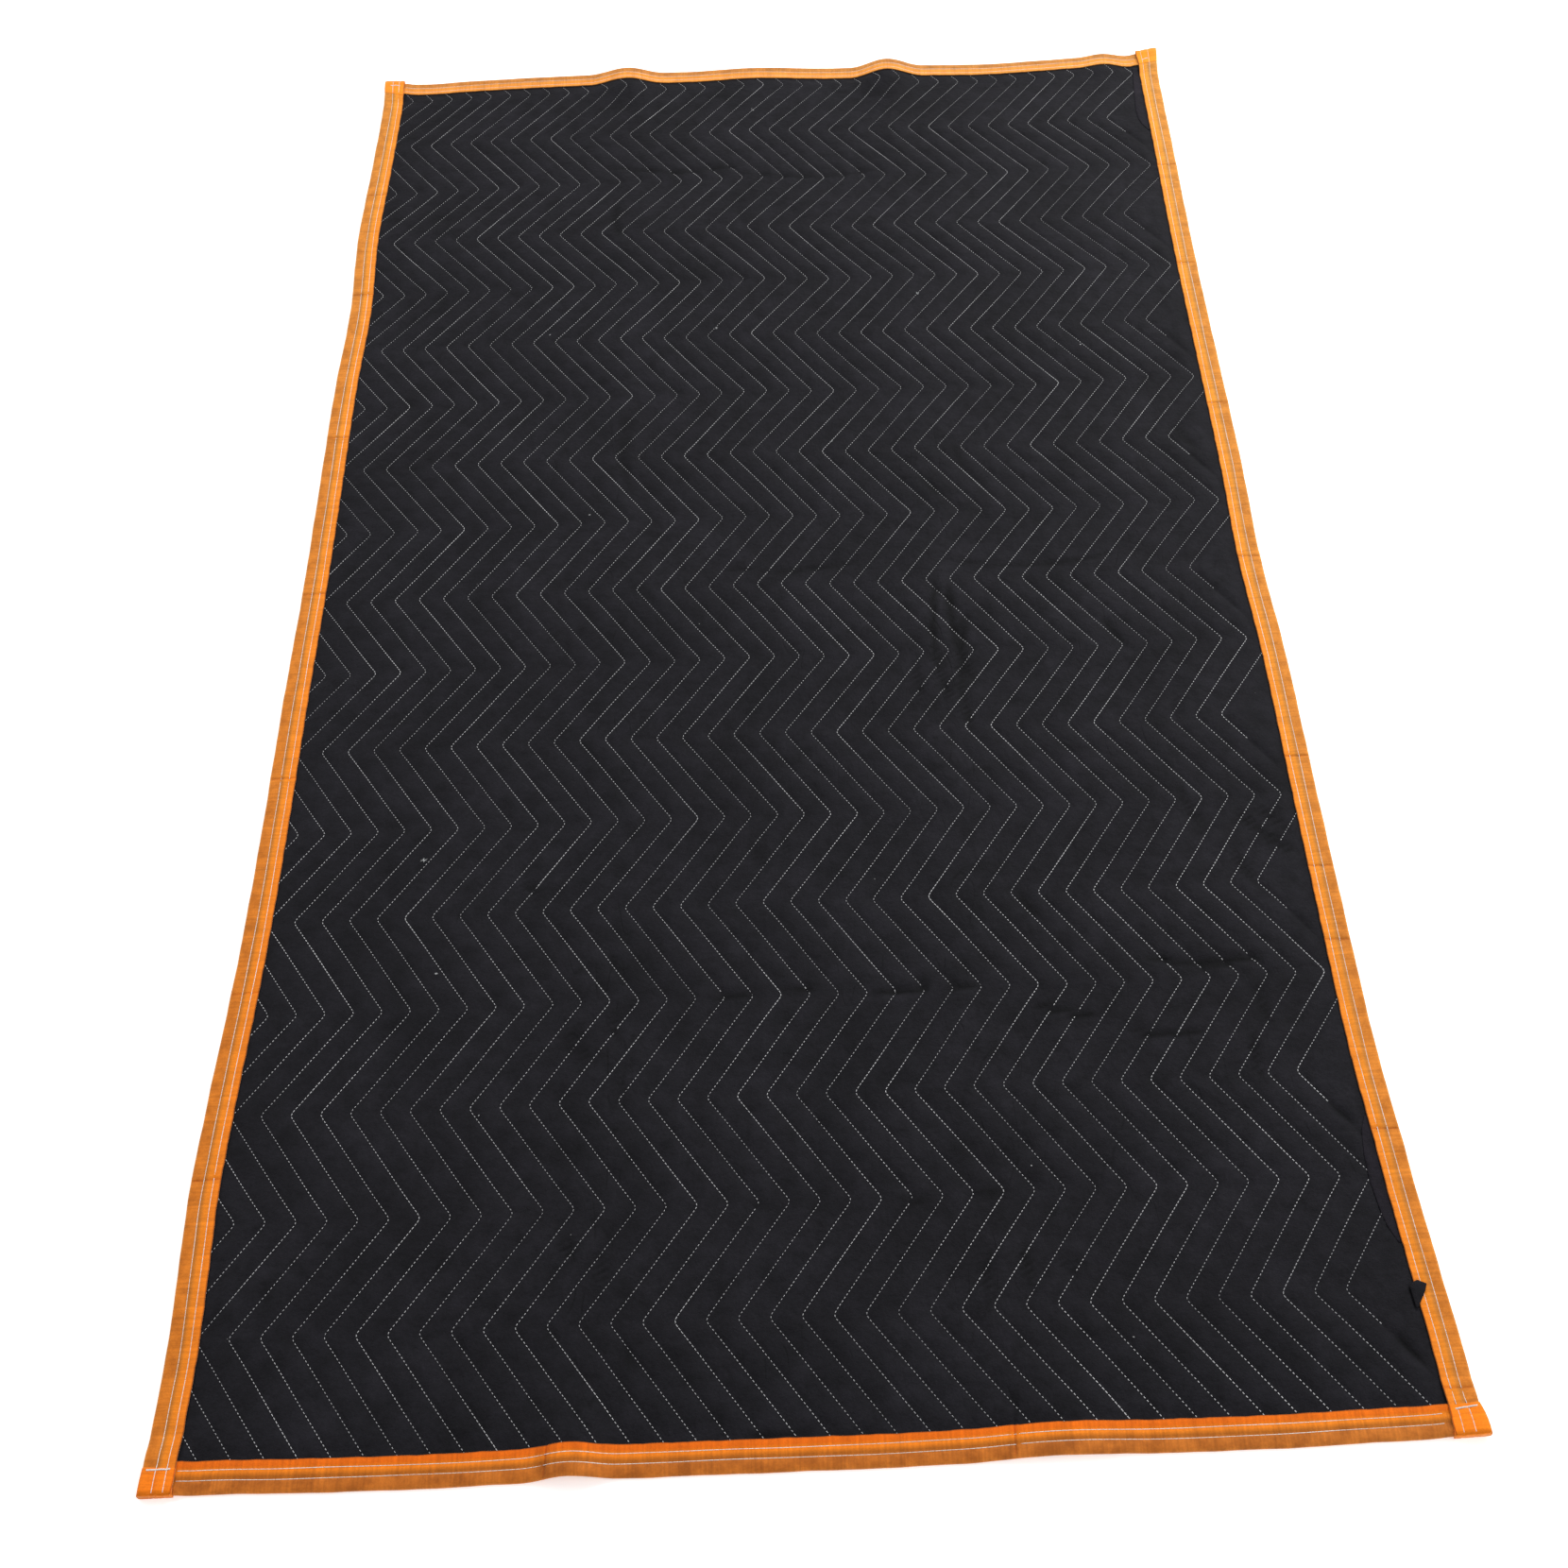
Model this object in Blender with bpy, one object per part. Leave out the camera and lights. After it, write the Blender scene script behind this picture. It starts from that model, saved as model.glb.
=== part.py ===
"""Quilted moving pad, lying flat with its face up.

The pad is one quilted cloth panel, 40 by 72 inches, sewn through in zigzag lines an inch apart.
A strip folded round each edge binds it: two end strips, and two side strips whose ends fold over them.

Shapes are first worked out on the flat pattern, in millimetres from the near left corner:
x across the pad, y along it and z up from the surface that it lies on.
The function lay then puts a pattern point where the real cloth lies, in metres, about the pad's middle.
"""

from typing import Callable, List, NamedTuple, Sequence, Tuple

import math

import bmesh
import bpy
from mathutils import Vector

METRES_PER_MM = 0.001

# The pad's cut size, and the middle of its outline as it lies
PAD_WIDTH = 1016.0
PAD_LENGTH = 1829.0
MIDDLE_X = 507.3
MIDDLE_Y = 914.8

# Quilting: lines run along the pad and turn left or right at even steps
LINE_PITCH = 25.5
FIRST_LINE_X = 44.5
TURN_STEP = 98.2
FIRST_TURN_Y = 22.4
TURN_SWING = 71.4

# Cloth thicknesses, measured up from the surface
STITCHED_THICKNESS = 3.4
CREST_THICKNESS = 5.8
CREST_RISE_WIDTH = 10.0

# Folded binding strip
STRIP_WIDTH = 25.0
STRIP_THICKNESS = 1.0
SEWN_GAP = 0.5
SEWN_PANEL_THICKNESS = 1.4
EDGE_ROUNDING = 2.2
PANEL_BOTTOM_AT_EDGE = STRIP_THICKNESS + SEWN_GAP
PANEL_TOP_AT_EDGE = PANEL_BOTTOM_AT_EDGE + SEWN_PANEL_THICKNESS
MOUTH_HEIGHT = PANEL_TOP_AT_EDGE + SEWN_GAP
EDGE_INSET = STRIP_THICKNESS + SEWN_GAP
PANEL_CLIP = STRIP_WIDTH + 1.0

# Corners, where a side strip's end is folded over the end strip
CORNER_RAISED = 27.0
CORNER_LEVEL = 38.0
SIDE_LEVEL = 46.0
CORNER_LIFT = STRIP_THICKNESS + SEWN_GAP
SIDE_TOP_RAISE = 2.0 * CORNER_LIFT
FOLD_BACK_THICKNESS = 0.8
FOLD_BACK_STEP = 1.0
NEAR_FOLD_BACK = 21.0
FAR_FOLD_BACK = 25.0

# Sections along a strip: on every point of the quilting where the cloth is lifted, else fewer
LEAST_LIFT = 0.05
WIDEST_STEP = 50.0
ALL_THE_WAY_ROUND = 3.9999

# Loose end of the cover cloth that lies over the right strip
TIP_THICKNESS = 1.0
TIP_CLEARANCE = 0.4

CLOTH_BLACK = (0.012, 0.012, 0.014, 1.0)
STRIP_ORANGE = (0.85, 0.19, 0.02, 1.0)


class SideShift(NamedTuple):
    """How far the two long edges lie towards +x of their straight lines, at one y."""

    y: float
    left: float
    right: float


class EndShift(NamedTuple):
    """How far the two short edges lie towards +y of their straight lines, at one x."""

    x: float
    near: float
    far: float


class EndFold(NamedTuple):
    """A fold that stands off the surface at one of the short edges and fades into the pad."""

    x: float
    far: bool
    half_width: float
    reach: float
    height: float


class CornerTurn(NamedTuple):
    """A right-hand corner that is turned up a little, bent along a diagonal line."""

    far: bool
    reach: float
    height: float


class TipPoint(NamedTuple):
    """A corner of the loose cloth end: its distance from the pad's right edge, and y."""

    from_edge: float
    y: float


SIDE_SHIFTS = [
    SideShift(0.0, 0.4, 0.5),
    SideShift(65.0, 1.5, -1.0),
    SideShift(110.0, 2.4, -3.4),
    SideShift(200.0, -0.4, -8.6),
    SideShift(245.0, -2.0, -10.4),
    SideShift(335.0, 0.2, -14.6),
    SideShift(470.0, 5.1, -15.2),
    SideShift(605.0, 6.4, -15.0),
    SideShift(785.0, 5.5, -14.2),
    SideShift(920.0, 6.1, -17.4),
    SideShift(1055.0, 4.8, -14.4),
    SideShift(1235.0, 2.9, -13.6),
    SideShift(1370.0, 5.0, -13.2),
    SideShift(1505.0, -0.8, -11.4),
    SideShift(1640.0, 1.1, -8.8),
    SideShift(1775.0, 2.1, -6.8),
    SideShift(1829.0, 0.4, -5.0),
]

END_SHIFTS = [
    EndShift(0.0, 0.6, -1.0),
    EndShift(60.0, 0.4, -4.0),
    EndShift(110.0, -1.2, -1.0),
    EndShift(210.0, -2.9, 2.0),
    EndShift(318.0, -2.2, 2.6),
    EndShift(410.0, -2.8, 1.4),
    EndShift(485.0, -3.5, 4.8),
    EndShift(585.0, -4.1, -3.4),
    EndShift(700.0, -2.4, -4.0),
    EndShift(785.0, -3.2, -7.8),
    EndShift(860.0, -4.0, -4.6),
    EndShift(935.0, -3.0, -0.4),
    EndShift(1016.0, -2.2, -2.0),
]

END_FOLDS = [
    EndFold(316.0, True, 50.0, 60.0, 8.2),
    EndFold(659.0, True, 49.0, 62.0, 10.4),
    EndFold(320.0, False, 46.0, 60.0, 8.0),
    EndFold(699.0, False, 70.0, 60.0, 4.4),
]

CORNER_TURNS = [
    CornerTurn(True, 62.0, 8.6),
    CornerTurn(False, 60.0, 2.4),
]
TURN_SOFTNESS = 30.0

# The two ridges left along the pad from its folding in three
RIDGE_LINES = (330.0, 660.0)
RIDGE_HALF_WIDTH = 42.0
RIDGE_HEIGHT = 1.1

TIP_OUTLINE = [
    TipPoint(31.0, 96.0),
    TipPoint(27.0, 97.0),
    TipPoint(24.0, 103.0),
    TipPoint(17.5, 115.0),
    TipPoint(15.0, 121.5),
    TipPoint(22.0, 125.0),
    TipPoint(27.5, 122.5),
    TipPoint(31.0, 121.0),
]

PatternPoint = Tuple[float, float, float]


def between(table: Sequence[NamedTuple], column: str, at: float) -> float:
    """Read a column of a table at a place between its rows, on a smooth curve through them."""
    places = [row[0] for row in table]
    values = [getattr(row, column) for row in table]
    if at <= places[0]:
        return values[0]
    if at >= places[-1]:
        return values[-1]
    upper = next(index for index, place in enumerate(places) if place > at)
    lower = upper - 1
    span = places[upper] - places[lower]
    part = (at - places[lower]) / span

    def slope(index: int) -> float:
        before = max(index - 1, 0)
        after = min(index + 1, len(table) - 1)
        return (values[after] - values[before]) / (places[after] - places[before])

    square = part * part
    cube = square * part
    return (
        (2 * cube - 3 * square + 1) * values[lower]
        + (cube - 2 * square + part) * span * slope(lower)
        + (3 * square - 2 * cube) * values[upper]
        + (cube - square) * span * slope(upper)
    )


def hump(offset: float, half_width: float) -> float:
    """A soft hump: 1 in the middle, 0 from half_width outwards."""
    if abs(offset) >= half_width:
        return 0.0
    return 0.5 * (1.0 + math.cos(math.pi * offset / half_width))


def ramp(value: float, low: float, high: float) -> float:
    """A soft step from 0 at low to 1 at high."""
    part = min(max((value - low) / (high - low), 0.0), 1.0)
    return part * part * (3.0 - 2.0 * part)


def fold_height(fold: EndFold, x: float, y: float) -> float:
    """Height of an end fold: even across the binding, then fading into the pad."""
    from_end = PAD_LENGTH - y if fold.far else y
    fade = hump(max(from_end - PANEL_CLIP, 0.0), fold.reach)
    return fold.height * hump(x - fold.x, fold.half_width) * fade


def turn_height(turn: CornerTurn, x: float, y: float) -> float:
    """Height of a turned-up corner: a straight slope from a softened diagonal bend."""
    from_end = PAD_LENGTH - y if turn.far else y
    inside = turn.reach - (PAD_WIDTH - x) - from_end
    if inside <= -TURN_SOFTNESS:
        return 0.0
    if inside < TURN_SOFTNESS:
        inside = (inside + TURN_SOFTNESS) ** 2 / (4 * TURN_SOFTNESS)
    return turn.height * inside / turn.reach


def lift_at(x: float, y: float) -> float:
    """Height of the cloth's underside off the surface, from its folds, ridges and corners."""
    folds = sum(fold_height(fold, x, y) for fold in END_FOLDS)
    turns = sum(turn_height(turn, x, y) for turn in CORNER_TURNS)
    ridges = sum(RIDGE_HEIGHT * hump(x - line, RIDGE_HALF_WIDTH) for line in RIDGE_LINES)
    return folds + turns + ridges


def lay(point: PatternPoint) -> Vector:
    """Put a pattern point where the cloth lies, in metres."""
    x, y, z = point
    across = x / PAD_WIDTH
    along = y / PAD_LENGTH
    left = between(SIDE_SHIFTS, "left", y)
    right = between(SIDE_SHIFTS, "right", y)
    near = between(END_SHIFTS, "near", x)
    far = between(END_SHIFTS, "far", x)
    laid_x = x + left + (right - left) * across - MIDDLE_X
    laid_y = y + near + (far - near) * along - MIDDLE_Y
    return Vector((laid_x, laid_y, z + lift_at(x, y))) * METRES_PER_MM


def edge_distance(value: float, size: float) -> float:
    """Distance from the nearer of a side's two ends."""
    return min(value, size - value)


def corner_share(distance: float) -> float:
    """1 under a corner's folded strips, 0 clear of them, from the distance to an end."""
    return 1.0 - ramp(distance, CORNER_RAISED, CORNER_LEVEL)


def corner_lift(x: float, y: float) -> float:
    """How far the panel is lifted in a corner by the strip folded under it."""
    across = corner_share(edge_distance(x, PAD_WIDTH))
    along = corner_share(edge_distance(y, PAD_LENGTH))
    return CORNER_LIFT * across * along


def swing(y: float) -> float:
    """How far the quilting lines have swung towards +x at y, 0 at a left turn."""
    turns = (y - FIRST_TURN_Y) / TURN_STEP
    return TURN_SWING * abs((turns % 2.0) - 1.0)


def column_x(column: int, y: float) -> float:
    """Place of a column of the quilting at y: even columns are stitch lines, odd ones crests."""
    return FIRST_LINE_X + column * LINE_PITCH / 2 + swing(y)


COLUMNS = range(
    -2 * math.ceil((FIRST_LINE_X + TURN_SWING) / LINE_PITCH),
    2 * math.ceil((PAD_WIDTH - FIRST_LINE_X) / LINE_PITCH) + 1,
)


def turn_rows() -> List[float]:
    """The y of each row of the panel's grid: every turn, and closer rows near the lifted ends."""
    turns = []
    turn = FIRST_TURN_Y
    while turn < PAD_LENGTH:
        turns.append(turn)
        turn += TURN_STEP
    rows = [0.0]
    last = len(turns) - 1
    for index, start in enumerate(turns):
        steps = 4 if index in (0, last - 1) else 1
        if index < last:
            rows += [start + TURN_STEP * step / steps for step in range(steps)]
    return rows + [turns[last], PAD_LENGTH]


def rise(x: float, y: float) -> float:
    """0 at the binding's edge, 1 where the quilting stands at its full height."""
    distance = min(edge_distance(x, PAD_WIDTH), edge_distance(y, PAD_LENGTH))
    return ramp(distance, PANEL_CLIP, PANEL_CLIP + CREST_RISE_WIDTH)


def panel_top(x: float, y: float, crest: bool) -> float:
    """Height of the panel's face at a stitch line or a crest."""
    full = CREST_THICKNESS if crest else STITCHED_THICKNESS
    return PANEL_TOP_AT_EDGE + (full - PANEL_TOP_AT_EDGE) * rise(x, y) + corner_lift(x, y)


def panel_bottom(x: float, y: float) -> float:
    """Height of the panel's underside: on the surface, and raised where the strip is under it."""
    return PANEL_BOTTOM_AT_EDGE * (1.0 - rise(x, y)) + corner_lift(x, y)


def clipped_grid(mesh: bmesh.types.BMesh) -> List[bmesh.types.BMVert]:
    """Add the zigzag grid on the pattern, cut to the cloth inside the binding.

    Args:
        mesh: Receives the grid. Its points' z holds 1 on a crest column and 0 on a stitch line.

    Returns:
        The new points.
    """
    old = set(mesh.verts)
    rows = turn_rows()
    grid = [[mesh.verts.new((column_x(column, y), y, float(column % 2))) for column in COLUMNS] for y in rows]
    for near_row, far_row in zip(grid, grid[1:]):
        for index in range(len(near_row) - 1):
            mesh.faces.new(
                (near_row[index], near_row[index + 1], far_row[index + 1], far_row[index])
            )
    cuts = [
        ((PANEL_CLIP, 0, 0), (-1, 0, 0)),
        ((PAD_WIDTH - PANEL_CLIP, 0, 0), (1, 0, 0)),
        ((0, PANEL_CLIP, 0), (0, -1, 0)),
        ((0, PAD_LENGTH - PANEL_CLIP, 0), (0, 1, 0)),
    ]
    for place, outward in cuts:
        new = [vert for vert in mesh.verts if vert not in old]
        edges = {edge for vert in new for edge in vert.link_edges}
        faces = {face for vert in new for face in vert.link_faces}
        bmesh.ops.bisect_plane(
            mesh,
            geom=new + list(edges) + list(faces),
            dist=0.02,
            plane_co=place,
            plane_no=outward,
            clear_outer=True,
        )
    return [vert for vert in mesh.verts if vert not in old]


def round_the_edge(x: float, y: float, inset: float) -> float:
    """Where a point on an inset rectangle lies on its way round, 0 to 4 from the near left corner."""
    clear = PANEL_CLIP
    across = min(max((x - clear) / (PAD_WIDTH - 2 * clear), 0.0), 1.0)
    along = min(max((y - clear) / (PAD_LENGTH - 2 * clear), 0.0), 1.0)
    sides = [
        (abs(y - inset), across),
        (abs(PAD_WIDTH - inset - x), 1.0 + along),
        (abs(PAD_LENGTH - inset - y), 3.0 - across),
        (abs(x - inset), 4.0 - along),
    ]
    place = min(sides)[1]
    return place if place < ALL_THE_WAY_ROUND else 0.0


class Ring(NamedTuple):
    """A closed row of points, in order round the pad."""

    places: List[float]
    verts: List[bmesh.types.BMVert]


def ring_of(verts: Sequence[bmesh.types.BMVert], inset: float) -> Ring:
    """Sort points of an inset rectangle into a ring."""
    placed = sorted(
        ((round_the_edge(vert.co.x, vert.co.y, inset), index) for index, vert in enumerate(verts))
    )
    return Ring([place for place, _ in placed], [verts[index] for _, index in placed])


def zip_rings(mesh: bmesh.types.BMesh, first: Ring, second: Ring) -> None:
    """Join two rings with triangles, going round both at the same pace."""
    near = 0
    far = 0
    first_count = len(first.verts)
    second_count = len(second.verts)
    while near < first_count or far < second_count:
        next_near = first.places[near + 1] if near + 1 < first_count else 4.0
        next_far = second.places[far + 1] if far + 1 < second_count else 4.0
        start = first.verts[near % first_count]
        other = second.verts[far % second_count]
        if far >= second_count or (near < first_count and next_near <= next_far):
            near += 1
            mesh.faces.new((start, first.verts[near % first_count], other))
        else:
            far += 1
            mesh.faces.new((start, second.verts[far % second_count], other))


def thinned(places: Sequence[float], height: Callable[[float], float]) -> List[float]:
    """Keep the places where the cloth is lifted or bent, and a few of the others.

    Args:
        places: The candidates along an edge, in order.
        height: The lift of the cloth at a place along that edge.

    Returns:
        The places that are kept.
    """
    kept = [places[0]]
    for before, place, after in zip(places, places[1:], places[2:]):
        lifted = max(height(before), height(place), height(after)) > LEAST_LIFT
        if lifted or after - kept[-1] > WIDEST_STEP:
            kept.append(place)
    return kept + [places[-1]]


def end_stations(far: bool) -> List[float]:
    """The x of the sections of an end strip, on the quilting's columns at the panel's clipped edge."""
    clip_y, edge_y = (PAD_LENGTH - PANEL_CLIP, PAD_LENGTH) if far else (PANEL_CLIP, 0.0)
    columns = [column_x(column, clip_y) for column in COLUMNS]
    inner = [x for x in columns if CORNER_RAISED + 1.0 < x < PAD_WIDTH - CORNER_RAISED - 1.0]
    kept = thinned(
        [CORNER_RAISED] + inner + [PAD_WIDTH - CORNER_RAISED],
        lambda x: max(lift_at(x, clip_y), lift_at(x, edge_y), corner_lift(x, edge_y)),
    )
    return [EDGE_INSET] + kept + [PAD_WIDTH - EDGE_INSET]


def side_stations(right: bool) -> List[float]:
    """The y of the sections of a side strip between its corners, on the panel's clipped points."""
    clip_x, edge_x = (PAD_WIDTH - PANEL_CLIP, PAD_WIDTH) if right else (PANEL_CLIP, 0.0)
    crossings = []
    for column in COLUMNS:
        share = (clip_x - column_x(column, FIRST_TURN_Y)) / TURN_SWING + 1.0
        if 0.0 < share < 1.0:
            for turn in range(0, round(PAD_LENGTH / TURN_STEP), 2):
                middle = FIRST_TURN_Y + TURN_STEP * (turn + 1)
                crossings += [middle - TURN_STEP * share, middle + TURN_STEP * share]
    places = sorted(crossings + turn_rows())
    inner = [y for y in places if SIDE_LEVEL + 2.0 < y < PAD_LENGTH - SIDE_LEVEL - 2.0]
    return thinned(
        [SIDE_LEVEL] + inner + [PAD_LENGTH - SIDE_LEVEL],
        lambda y: max(lift_at(clip_x, y), lift_at(edge_x, y)),
    )


def edge_ring(mesh: bmesh.types.BMesh, height: float) -> Ring:
    """Add the ring of points at the panel's own cut edge, inside the binding."""
    low = EDGE_INSET
    points = [(x, low) for x in end_stations(far=False)]
    points += [(x, PAD_LENGTH - low) for x in end_stations(far=True)]
    for right, x in ((False, low), (True, PAD_WIDTH - low)):
        between_corners = side_stations(right)
        points += [(x, y) for y in [CORNER_RAISED] + between_corners + [PAD_LENGTH - CORNER_RAISED]]
    return ring_of([mesh.verts.new((x, y, height)) for x, y in points], low)


def boundary_ring(verts: Sequence[bmesh.types.BMVert]) -> Ring:
    """The ring of points where a grid was clipped."""
    return ring_of([vert for vert in verts if vert.is_boundary], PANEL_CLIP)


def quilted_panel() -> bmesh.types.BMesh:
    """Make the quilted cloth: crests and stitch lines above, flat below, thin inside the binding."""
    mesh = bmesh.new()
    top = clipped_grid(mesh)
    bottom = clipped_grid(mesh)
    top_ring = boundary_ring(top)
    bottom_ring = boundary_ring(bottom)
    for vert in top:
        x, y, crest = vert.co
        low = panel_top(x, y, False)
        vert.co.z = low + (panel_top(x, y, True) - low) * crest
    for vert in bottom:
        vert.co.z = panel_bottom(vert.co.x, vert.co.y)
    upper_edge = edge_ring(mesh, PANEL_TOP_AT_EDGE)
    lower_edge = edge_ring(mesh, PANEL_BOTTOM_AT_EDGE)
    for vert in upper_edge.verts + lower_edge.verts:
        vert.co.z += corner_lift(vert.co.x, vert.co.y)
    zip_rings(mesh, top_ring, upper_edge)
    zip_rings(mesh, upper_edge, lower_edge)
    zip_rings(mesh, bottom_ring, lower_edge)
    return mesh


class Section(NamedTuple):
    """One section of a strip: its place along the edge, and how it is raised or thickened there."""

    along: float
    bottom_lift: float
    mouth_raise: float
    extra_top: float


def skin_points(section: Section) -> List[Tuple[float, float]]:
    """The strip's outer skin, from the lower lip round the edge to the upper lip."""
    low = section.bottom_lift
    high = low + MOUTH_HEIGHT + STRIP_THICKNESS + section.mouth_raise + section.extra_top
    round_in = EDGE_ROUNDING * 0.25
    return [
        (STRIP_WIDTH, low),
        (EDGE_ROUNDING, low),
        (round_in, low + round_in),
        (0.0, (low + high) / 2),
        (round_in, high - round_in),
        (EDGE_ROUNDING, high),
        (STRIP_WIDTH, high),
    ]


def mouth_points(section: Section) -> List[Tuple[float, float]]:
    """The strip's inner faces, from the upper lip in to the fold and back to the lower lip."""
    low = section.bottom_lift + STRIP_THICKNESS
    high = section.bottom_lift + MOUTH_HEIGHT + section.mouth_raise
    return [(STRIP_WIDTH, high), (STRIP_THICKNESS, high), (STRIP_THICKNESS, low), (STRIP_WIDTH, low)]


def strip(
    sections: Sequence[Section],
    place: Callable[[float, float, float], PatternPoint],
    closed_ends: bool,
) -> bmesh.types.BMesh:
    """Make a folded strip through its sections.

    Args:
        sections: The sections in order. Where the ends are closed, the first and last have no mouth.
        place: Turns a distance from the edge, a place along it and a height into a pattern point.
        closed_ends: Whether a fold of the strip closes each end.

    Returns:
        The strip as one closed body on the pattern.
    """
    mesh = bmesh.new()
    skins = [
        [mesh.verts.new(place(depth, section.along, z)) for depth, z in skin_points(section)]
        for section in sections
    ]
    hollow = sections[1:-1] if closed_ends else sections
    mouths = [
        [mesh.verts.new(place(depth, section.along, z)) for depth, z in mouth_points(section)]
        for section in hollow
    ]
    for first, second in zip(skins, skins[1:]):
        for index in range(len(first) - 1):
            mesh.faces.new((first[index], first[index + 1], second[index + 1], second[index]))
    for first, second in zip(mouths, mouths[1:]):
        for index in range(len(first) - 1):
            mesh.faces.new((first[index], first[index + 1], second[index + 1], second[index]))
    inner_skins = skins[1:-1] if closed_ends else skins
    for lip in (0, 1):
        for index in range(len(hollow) - 1):
            skin_a, skin_b = (inner_skins[index][-lip], inner_skins[index + 1][-lip])
            mouth_a, mouth_b = (mouths[index][lip - 1], mouths[index + 1][lip - 1])
            mesh.faces.new((skin_a, mouth_a, mouth_b, skin_b))
    if closed_ends:
        for skin, inner_skin, mouth in ((skins[0], skins[1], mouths[0]), (skins[-1], skins[-2], mouths[-1])):
            mesh.faces.new(skin)
            mesh.faces.new(mouth)
            mesh.faces.new((skin[0], skin[-1], inner_skin[-1], mouth[0], mouth[-1], inner_skin[0]))
    else:
        for skin, mouth in ((skins[0], mouths[0]), (skins[-1], mouths[-1])):
            mesh.faces.new(skin + mouth)
    return mesh


def side_sections(right: bool) -> List[Section]:
    """The sections of a side strip, from its near folded end to its far one."""
    length = PAD_LENGTH
    far_end = length + EDGE_INSET
    near_step = NEAR_FOLD_BACK + FOLD_BACK_STEP
    far_step = length - FAR_FOLD_BACK - FOLD_BACK_STEP
    raised = SIDE_TOP_RAISE
    thick = FOLD_BACK_THICKNESS
    near = [
        Section(-EDGE_INSET, 0.0, raised, thick),
        Section(-SEWN_GAP, 0.0, raised, thick),
        Section(NEAR_FOLD_BACK, 0.0, raised, thick),
        Section(near_step, 0.0, raised, 0.0),
        Section(CORNER_RAISED, 0.0, raised, 0.0),
    ]
    middle = [Section(y, 0.0, 0.0, 0.0) for y in side_stations(right)]
    far = [
        Section(length - CORNER_RAISED, 0.0, raised, 0.0),
        Section(far_step, 0.0, raised, 0.0),
        Section(length - FAR_FOLD_BACK, 0.0, raised, thick),
        Section(length + SEWN_GAP, 0.0, raised, thick),
        Section(far_end, 0.0, raised, thick),
    ]
    return near + middle + far


def side_strip(right: bool) -> bmesh.types.BMesh:
    """Make the left or the right strip."""

    def place(depth: float, along: float, z: float) -> PatternPoint:
        return (PAD_WIDTH - depth if right else depth, along, z)

    return strip(side_sections(right), place, closed_ends=True)


def end_strip(far: bool) -> bmesh.types.BMesh:
    """Make the near or the far strip, whose ends run inside the side strips."""
    sections = [
        Section(x, CORNER_LIFT * corner_share(edge_distance(x, PAD_WIDTH)), 0.0, 0.0)
        for x in end_stations(far)
    ]

    def place(depth: float, along: float, z: float) -> PatternPoint:
        return (along, PAD_LENGTH - depth if far else depth, z)

    return strip(sections, place, closed_ends=False)


def selvage_tip() -> bmesh.types.BMesh:
    """Make the loose end of cover cloth that lies over the right strip's inner edge."""
    mesh = bmesh.new()
    low = MOUTH_HEIGHT + STRIP_THICKNESS + TIP_CLEARANCE
    levels = [
        [mesh.verts.new((PAD_WIDTH - point.from_edge, point.y, height)) for point in TIP_OUTLINE]
        for height in (low, low + TIP_THICKNESS)
    ]
    for level in levels:
        mesh.faces.new(level)
    count = len(TIP_OUTLINE)
    for index in range(count):
        after = (index + 1) % count
        mesh.faces.new((levels[0][index], levels[0][after], levels[1][after], levels[1][index]))
    return mesh


def cloth_material(name: str, colour: Tuple[float, float, float, float], roughness: float) -> bpy.types.Material:
    """Make a plain cloth material."""
    material = bpy.data.materials.new(name)
    material.use_nodes = True
    shader = material.node_tree.nodes["Principled BSDF"]
    shader.inputs["Base Color"].default_value = colour
    shader.inputs["Roughness"].default_value = roughness
    shader.inputs["Metallic"].default_value = 0.0
    return material


def add_piece(name: str, pattern: bmesh.types.BMesh, material: bpy.types.Material) -> bpy.types.Object:
    """Lay a piece's pattern as the cloth lies and add it to the scene as one object."""
    for vert in pattern.verts:
        vert.co = lay(tuple(vert.co))
    bmesh.ops.recalc_face_normals(pattern, faces=pattern.faces)
    mesh = bpy.data.meshes.new(name)
    pattern.to_mesh(mesh)
    pattern.free()
    mesh.materials.append(material)
    piece = bpy.data.objects.new(name, mesh)
    bpy.context.collection.objects.link(piece)
    return piece


def main() -> None:
    """Build the pad."""
    for old in list(bpy.data.objects):
        bpy.data.objects.remove(old, do_unlink=True)
    black = cloth_material("black_cloth", CLOTH_BLACK, 0.9)
    orange = cloth_material("orange_strip", STRIP_ORANGE, 0.75)
    add_piece("quilted_panel", quilted_panel(), black)
    add_piece("binding_left", side_strip(right=False), orange)
    add_piece("binding_right", side_strip(right=True), orange)
    add_piece("binding_near", end_strip(far=False), orange)
    add_piece("binding_far", end_strip(far=True), orange)
    add_piece("selvage_tip", selvage_tip(), black)


main()
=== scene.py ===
"""Looks of a quilted moving pad that lies flat with its face up.

Shapes are worked out on the flat pattern, in millimetres from the near left corner:
x across the pad, y along it and z up from the surface that it lies on.
PadLay then puts pattern points where the real cloth lies, in metres, as the solids' source does.
"""

import logging
import math
from dataclasses import dataclass, field
from enum import Enum
from typing import Callable, Dict, List, NamedTuple, Optional, Sequence, Tuple, Union

import bmesh
import bpy
import numpy as np
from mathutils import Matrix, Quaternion, Vector


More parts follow.
